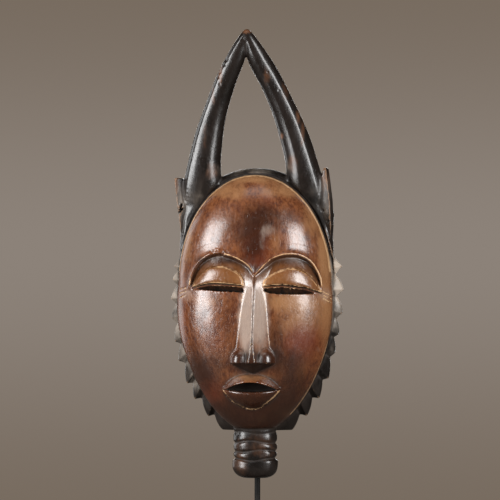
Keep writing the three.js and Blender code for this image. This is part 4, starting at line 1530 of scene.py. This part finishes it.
def makeRod():
    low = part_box("stand_rod")[0]
    radius, top, start = stand["rodRadius"], stand["barHeight"], stand["bendFrom"]
    front = low.y + radius
    pull = [mix(start, top, share) for share in stand["bendPull"]]
    knots = [Vector((0, y, z)) for y, z in ((0, start), (0, pull[0]), (front, pull[1]), (front, top))]
    path = [Vector((0, 0, z)) for z in (low.z, low.z + stand["rodEnd"], 0.5 * (low.z + start))]
    for i in range(stand["bendSteps"] + 1):
        t = i / stand["bendSteps"]
        weights = ((1 - t) ** 3, 3 * t * (1 - t) ** 2, 3 * t * t * (1 - t), t**3)
        path.append(sum((k * w for k, w in zip(knots, weights)), Vector()))
    radii = [radius * 0.8] + [radius] * (len(path) - 1)
    post = tube("rod_post", path, radii, stand["rodSides"])
    half, bevel = stand["barHalf"], stand["barBevel"]
    places = (-half, -half + bevel, half - bevel, half)
    sizes = (radius - bevel, radius, radius, radius - bevel)
    bar = tube("rod_bar", [Vector((x, front, top)) for x in places], sizes, stand["rodSides"])
    rod = joinInto(post, bar)
    rod.name = "stand_rod_steel"
    shadeByAngle(rod, 40)
    return rod


def cornerOutline(halfWidth, halfDepth, radius, parts=8):
    # a rectangle with round corners
    points = []
    for corner in range(4):
        sx, sy = ((1, 1), (-1, 1), (-1, -1), (1, -1))[corner]
        for i in range(parts + 1):
            turn = math.radians(90 * (corner + i / parts))
            x, y = sx * (halfWidth - radius), sy * (halfDepth - radius)
            points.append((x + radius * math.cos(turn), y + radius * math.sin(turn)))
    return points


def makeFoot():
    halfWidth, halfDepth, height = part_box("stand_base")[1]
    bevel, radius = stand["footBevel"], stand["footRadius"]
    levels = []
    for i in range(stand["bevelSteps"] + 1):
        turn = math.radians(90 * i / stand["bevelSteps"])
        levels.append((bevel * (1 - math.sin(turn)), bevel * (1 - math.cos(turn))))
    rows = levels + [(inset, height - z) for inset, z in reversed(levels)]
    points, faces = [], []
    for inset, z in rows:
        outline = cornerOutline(halfWidth - inset, halfDepth - inset, radius - inset)
        points += [(x, y, z) for x, y in outline]
    count = len(outline)
    for row in range(len(rows) - 1):
        faces += ringFaces(row * count, count)
    faces.append(tuple(reversed(range(count))))
    # the top face runs in to the rod's socket
    hole, edge = stand["rodRadius"] + stand["clearance"], stand["socketBevel"]
    socket = ((hole + edge, height), (hole, height - edge), (hole, stand["socketFloor"]))
    last = (len(rows) - 1) * count
    turns = [math.atan2(y, x) for x, y, _ in points[last:]]
    for row, (reach, z) in enumerate(socket):
        points += [(reach * math.cos(turn), reach * math.sin(turn), z) for turn in turns]
        faces += ringFaces(last + row * count, count)
    faces.append(tuple(last + len(socket) * count + n for n in range(count)))
    foot = pieceFrom("stand_base_steel", points, faces)
    shadeByAngle(foot, 35)
    return foot


def edgeMask(piece, run):
    # how near each point is to the box edges of a plain piece
    co = np.zeros(len(piece.data.vertices) * 3, np.float32)
    piece.data.vertices.foreach_get("co", co)
    co = co.reshape(-1, 3)
    middle, half = (co.max(0) + co.min(0)) / 2, (co.max(0) - co.min(0)) / 2
    short = np.sort(half - np.abs(co - middle), axis=1)[:, 1]
    setFloats(piece.data, "edge", np.clip(1 - short / run, 0, 1))


def blackPaint():
    material, tree, shader = newMaterial("black_painted_steel")
    scuffs = placeGroup(tree, "scuffs", **stand["scuffs"])
    wear = placeGroup(tree, "edgeWear", Edge=attribute(tree, "edge"), **stand["wear"])
    dust = placeGroup(tree, "dust", **stand["dust"])
    fine = noise(tree, stretched(tree), 1400.0, 2, 0.5)
    strength = stand["strength"]
    colour = tint(tree, remap(tree, fine, 0.3, 0.7), stand["paint"], stand["paintPale"])
    colour = tint(tree, times(tree, wear["Worn"], strength["worn"]), colour, stand["paintWorn"])
    colour = tint(tree, times(tree, dust["Dust"], strength["dust"]), colour, stain["dust"])
    tree.links.new(colour, shader.inputs["Base Color"])
    rough = remap(tree, fine, 0.3, 0.7, *stand["paintRoughness"])
    rough = plus(tree, rough, times(tree, scuffs["Scuff"], strength["scuffRoughness"]), True)
    tree.links.new(rough, shader.inputs["Roughness"])
    shader.inputs["Specular IOR Level"].default_value = stand["paintGloss"]
    height = plus(tree, fine, times(tree, scuffs["Scratch"], strength["scratchRelief"]))
    bumped(tree, shader, height, stand["paintRelief"])
    return material


def finish(piece, material, body, node):
    piece.data.materials.clear()
    piece.data.materials.append(material)
    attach(piece, body)
    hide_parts(node)
    print(piece.name, "is in place")


finish(makeMask(), maskWood(), "root", "mask")
steel = blackPaint()
for maker, node in ((makeRod, "stand_rod"), (makeFoot, "stand_base")):
    piece = maker()
    edgeMask(piece, stand["edgeRun"])
    finish(piece, steel, "root", node)

# The room: a pale floor that fades into the backdrop, and soft lights round the mask.
studio = {
    "aim": Vector((-0.0047, -0.023, 0.3252)),
    "yaw": 5,
    "distance": 3.0,
    "span": 0.45,
    "sensor": 36,
    "backdrop": srgb(140, 130, 121),
    "backdropEdge": srgb(119, 107, 95),
    "backdropFade": 0.085,
    "fill": 0.1,
    "fade": (0.45, 1.2),
    "floor": srgb(140, 134, 126),
    "floorRoughness": 0.8,
    "floorSides": 96,
    "bounce": 0.35,
    "lights": [
        # degrees round from the front, degrees up, distance, width, height, power
        ("leftSoftbox", -52, 9, 1.5, 0.55, 1.2, 43),
        ("rightSoftbox", 48, 11, 1.5, 0.55, 1.05, 36),
        ("leftEdgeSoftbox", -122, 6, 1.5, 0.7, 1.2, 5),
        ("topSoftbox", 0, 66, 1.6, 0.8, 0.5, 3),
        ("backSoftbox", 186, 6, 1.6, 0.7, 0.7, 5.5),
    ],
}


def around(degreesRound, degreesHigh, distance):
    turn, high = math.radians(degreesRound), math.radians(degreesHigh)
    out = Vector((math.sin(turn) * math.cos(high), -math.cos(turn) * math.cos(high), math.sin(high)))
    return studio["aim"] + out * distance


def aimed(thing, at):
    thing.rotation_euler = (at - thing.location).to_track_quat("-Z", "Y").to_euler()


def makeCamera():
    camera = bpy.data.objects.new("camera", bpy.data.cameras.new("camera"))
    camera.data.sensor_width = studio["sensor"]
    camera.data.lens = studio["sensor"] * studio["distance"] / studio["span"]
    camera.location = around(studio["yaw"], 0, studio["distance"])
    aimed(camera, studio["aim"])
    bpy.context.scene.collection.objects.link(camera)
    bpy.context.scene.camera = camera


def makeLights():
    for name, turn, high, distance, width, tall, power in studio["lights"]:
        lamp = bpy.data.lights.new(name, "AREA")
        lamp.shape = "RECTANGLE"
        lamp.size, lamp.size_y = width, tall
        lamp.energy = power
        light = bpy.data.objects.new(name, lamp)
        light.visible_camera = False
        light.location = around(turn, high, distance)
        aimed(light, studio["aim"])
        bpy.context.scene.collection.objects.link(light)


def makeBackdrop():
    world = bpy.data.worlds.new("air")
    world.use_nodes = True
    tree = world.node_tree
    air = tree.nodes["Background"]
    # the backdrop is a little darker above and below
    split = tree.nodes.new("ShaderNodeSeparateXYZ")
    tree.links.new(tree.nodes.new("ShaderNodeTexCoord").outputs["Generated"], split.inputs[0])
    high = calc(tree, "ABSOLUTE", split.outputs["Z"], 0.0)
    shade = remap(tree, high, 0.0, studio["backdropFade"])
    tree.links.new(tint(tree, shade, studio["backdrop"], studio["backdropEdge"]), air.inputs["Color"])
    # it is seen at full strength and lights the mask at less
    seen = tree.nodes.new("ShaderNodeLightPath").outputs["Is Camera Ray"]
    tree.links.new(remap(tree, seen, 0.0, 1.0, studio["fill"], 1.0), air.inputs["Strength"])
    bpy.context.scene.world = world


def makeFloor():
    reach, sides = studio["fade"][1] + 0.05, studio["floorSides"]
    turns = [2 * math.pi * i / sides for i in range(sides)]
    points = [(reach * math.cos(turn), reach * math.sin(turn), 0) for turn in turns]
    floor = pieceFrom("floor", points, [tuple(range(sides))])
    material, tree, shader = newMaterial("pale_floor")
    shader.inputs["Base Color"].default_value = studio["floor"]
    shader.inputs["Roughness"].default_value = studio["floorRoughness"]
    # the floor fades into the backdrop
    length = tree.nodes.new("ShaderNodeVectorMath")
    length.operation = "LENGTH"
    tree.links.new(tree.nodes.new("ShaderNodeTexCoord").outputs["Object"], length.inputs[0])
    faded = remap(tree, length.outputs["Value"], *studio["fade"], 1.0, 0.0)
    seen = tree.nodes.new("ShaderNodeLightPath").outputs["Is Camera Ray"]
    # and it is thinner for the light it throws back
    thrown = remap(tree, seen, 0.0, 1.0, studio["bounce"], 1.0)
    tree.links.new(times(tree, faded, thrown), shader.inputs["Alpha"])
    floor.data.materials.append(material)


makeCamera()
makeLights()
makeBackdrop()
makeFloor()
bpy.context.scene.view_settings.view_transform = "Standard"
print("studio is ready")
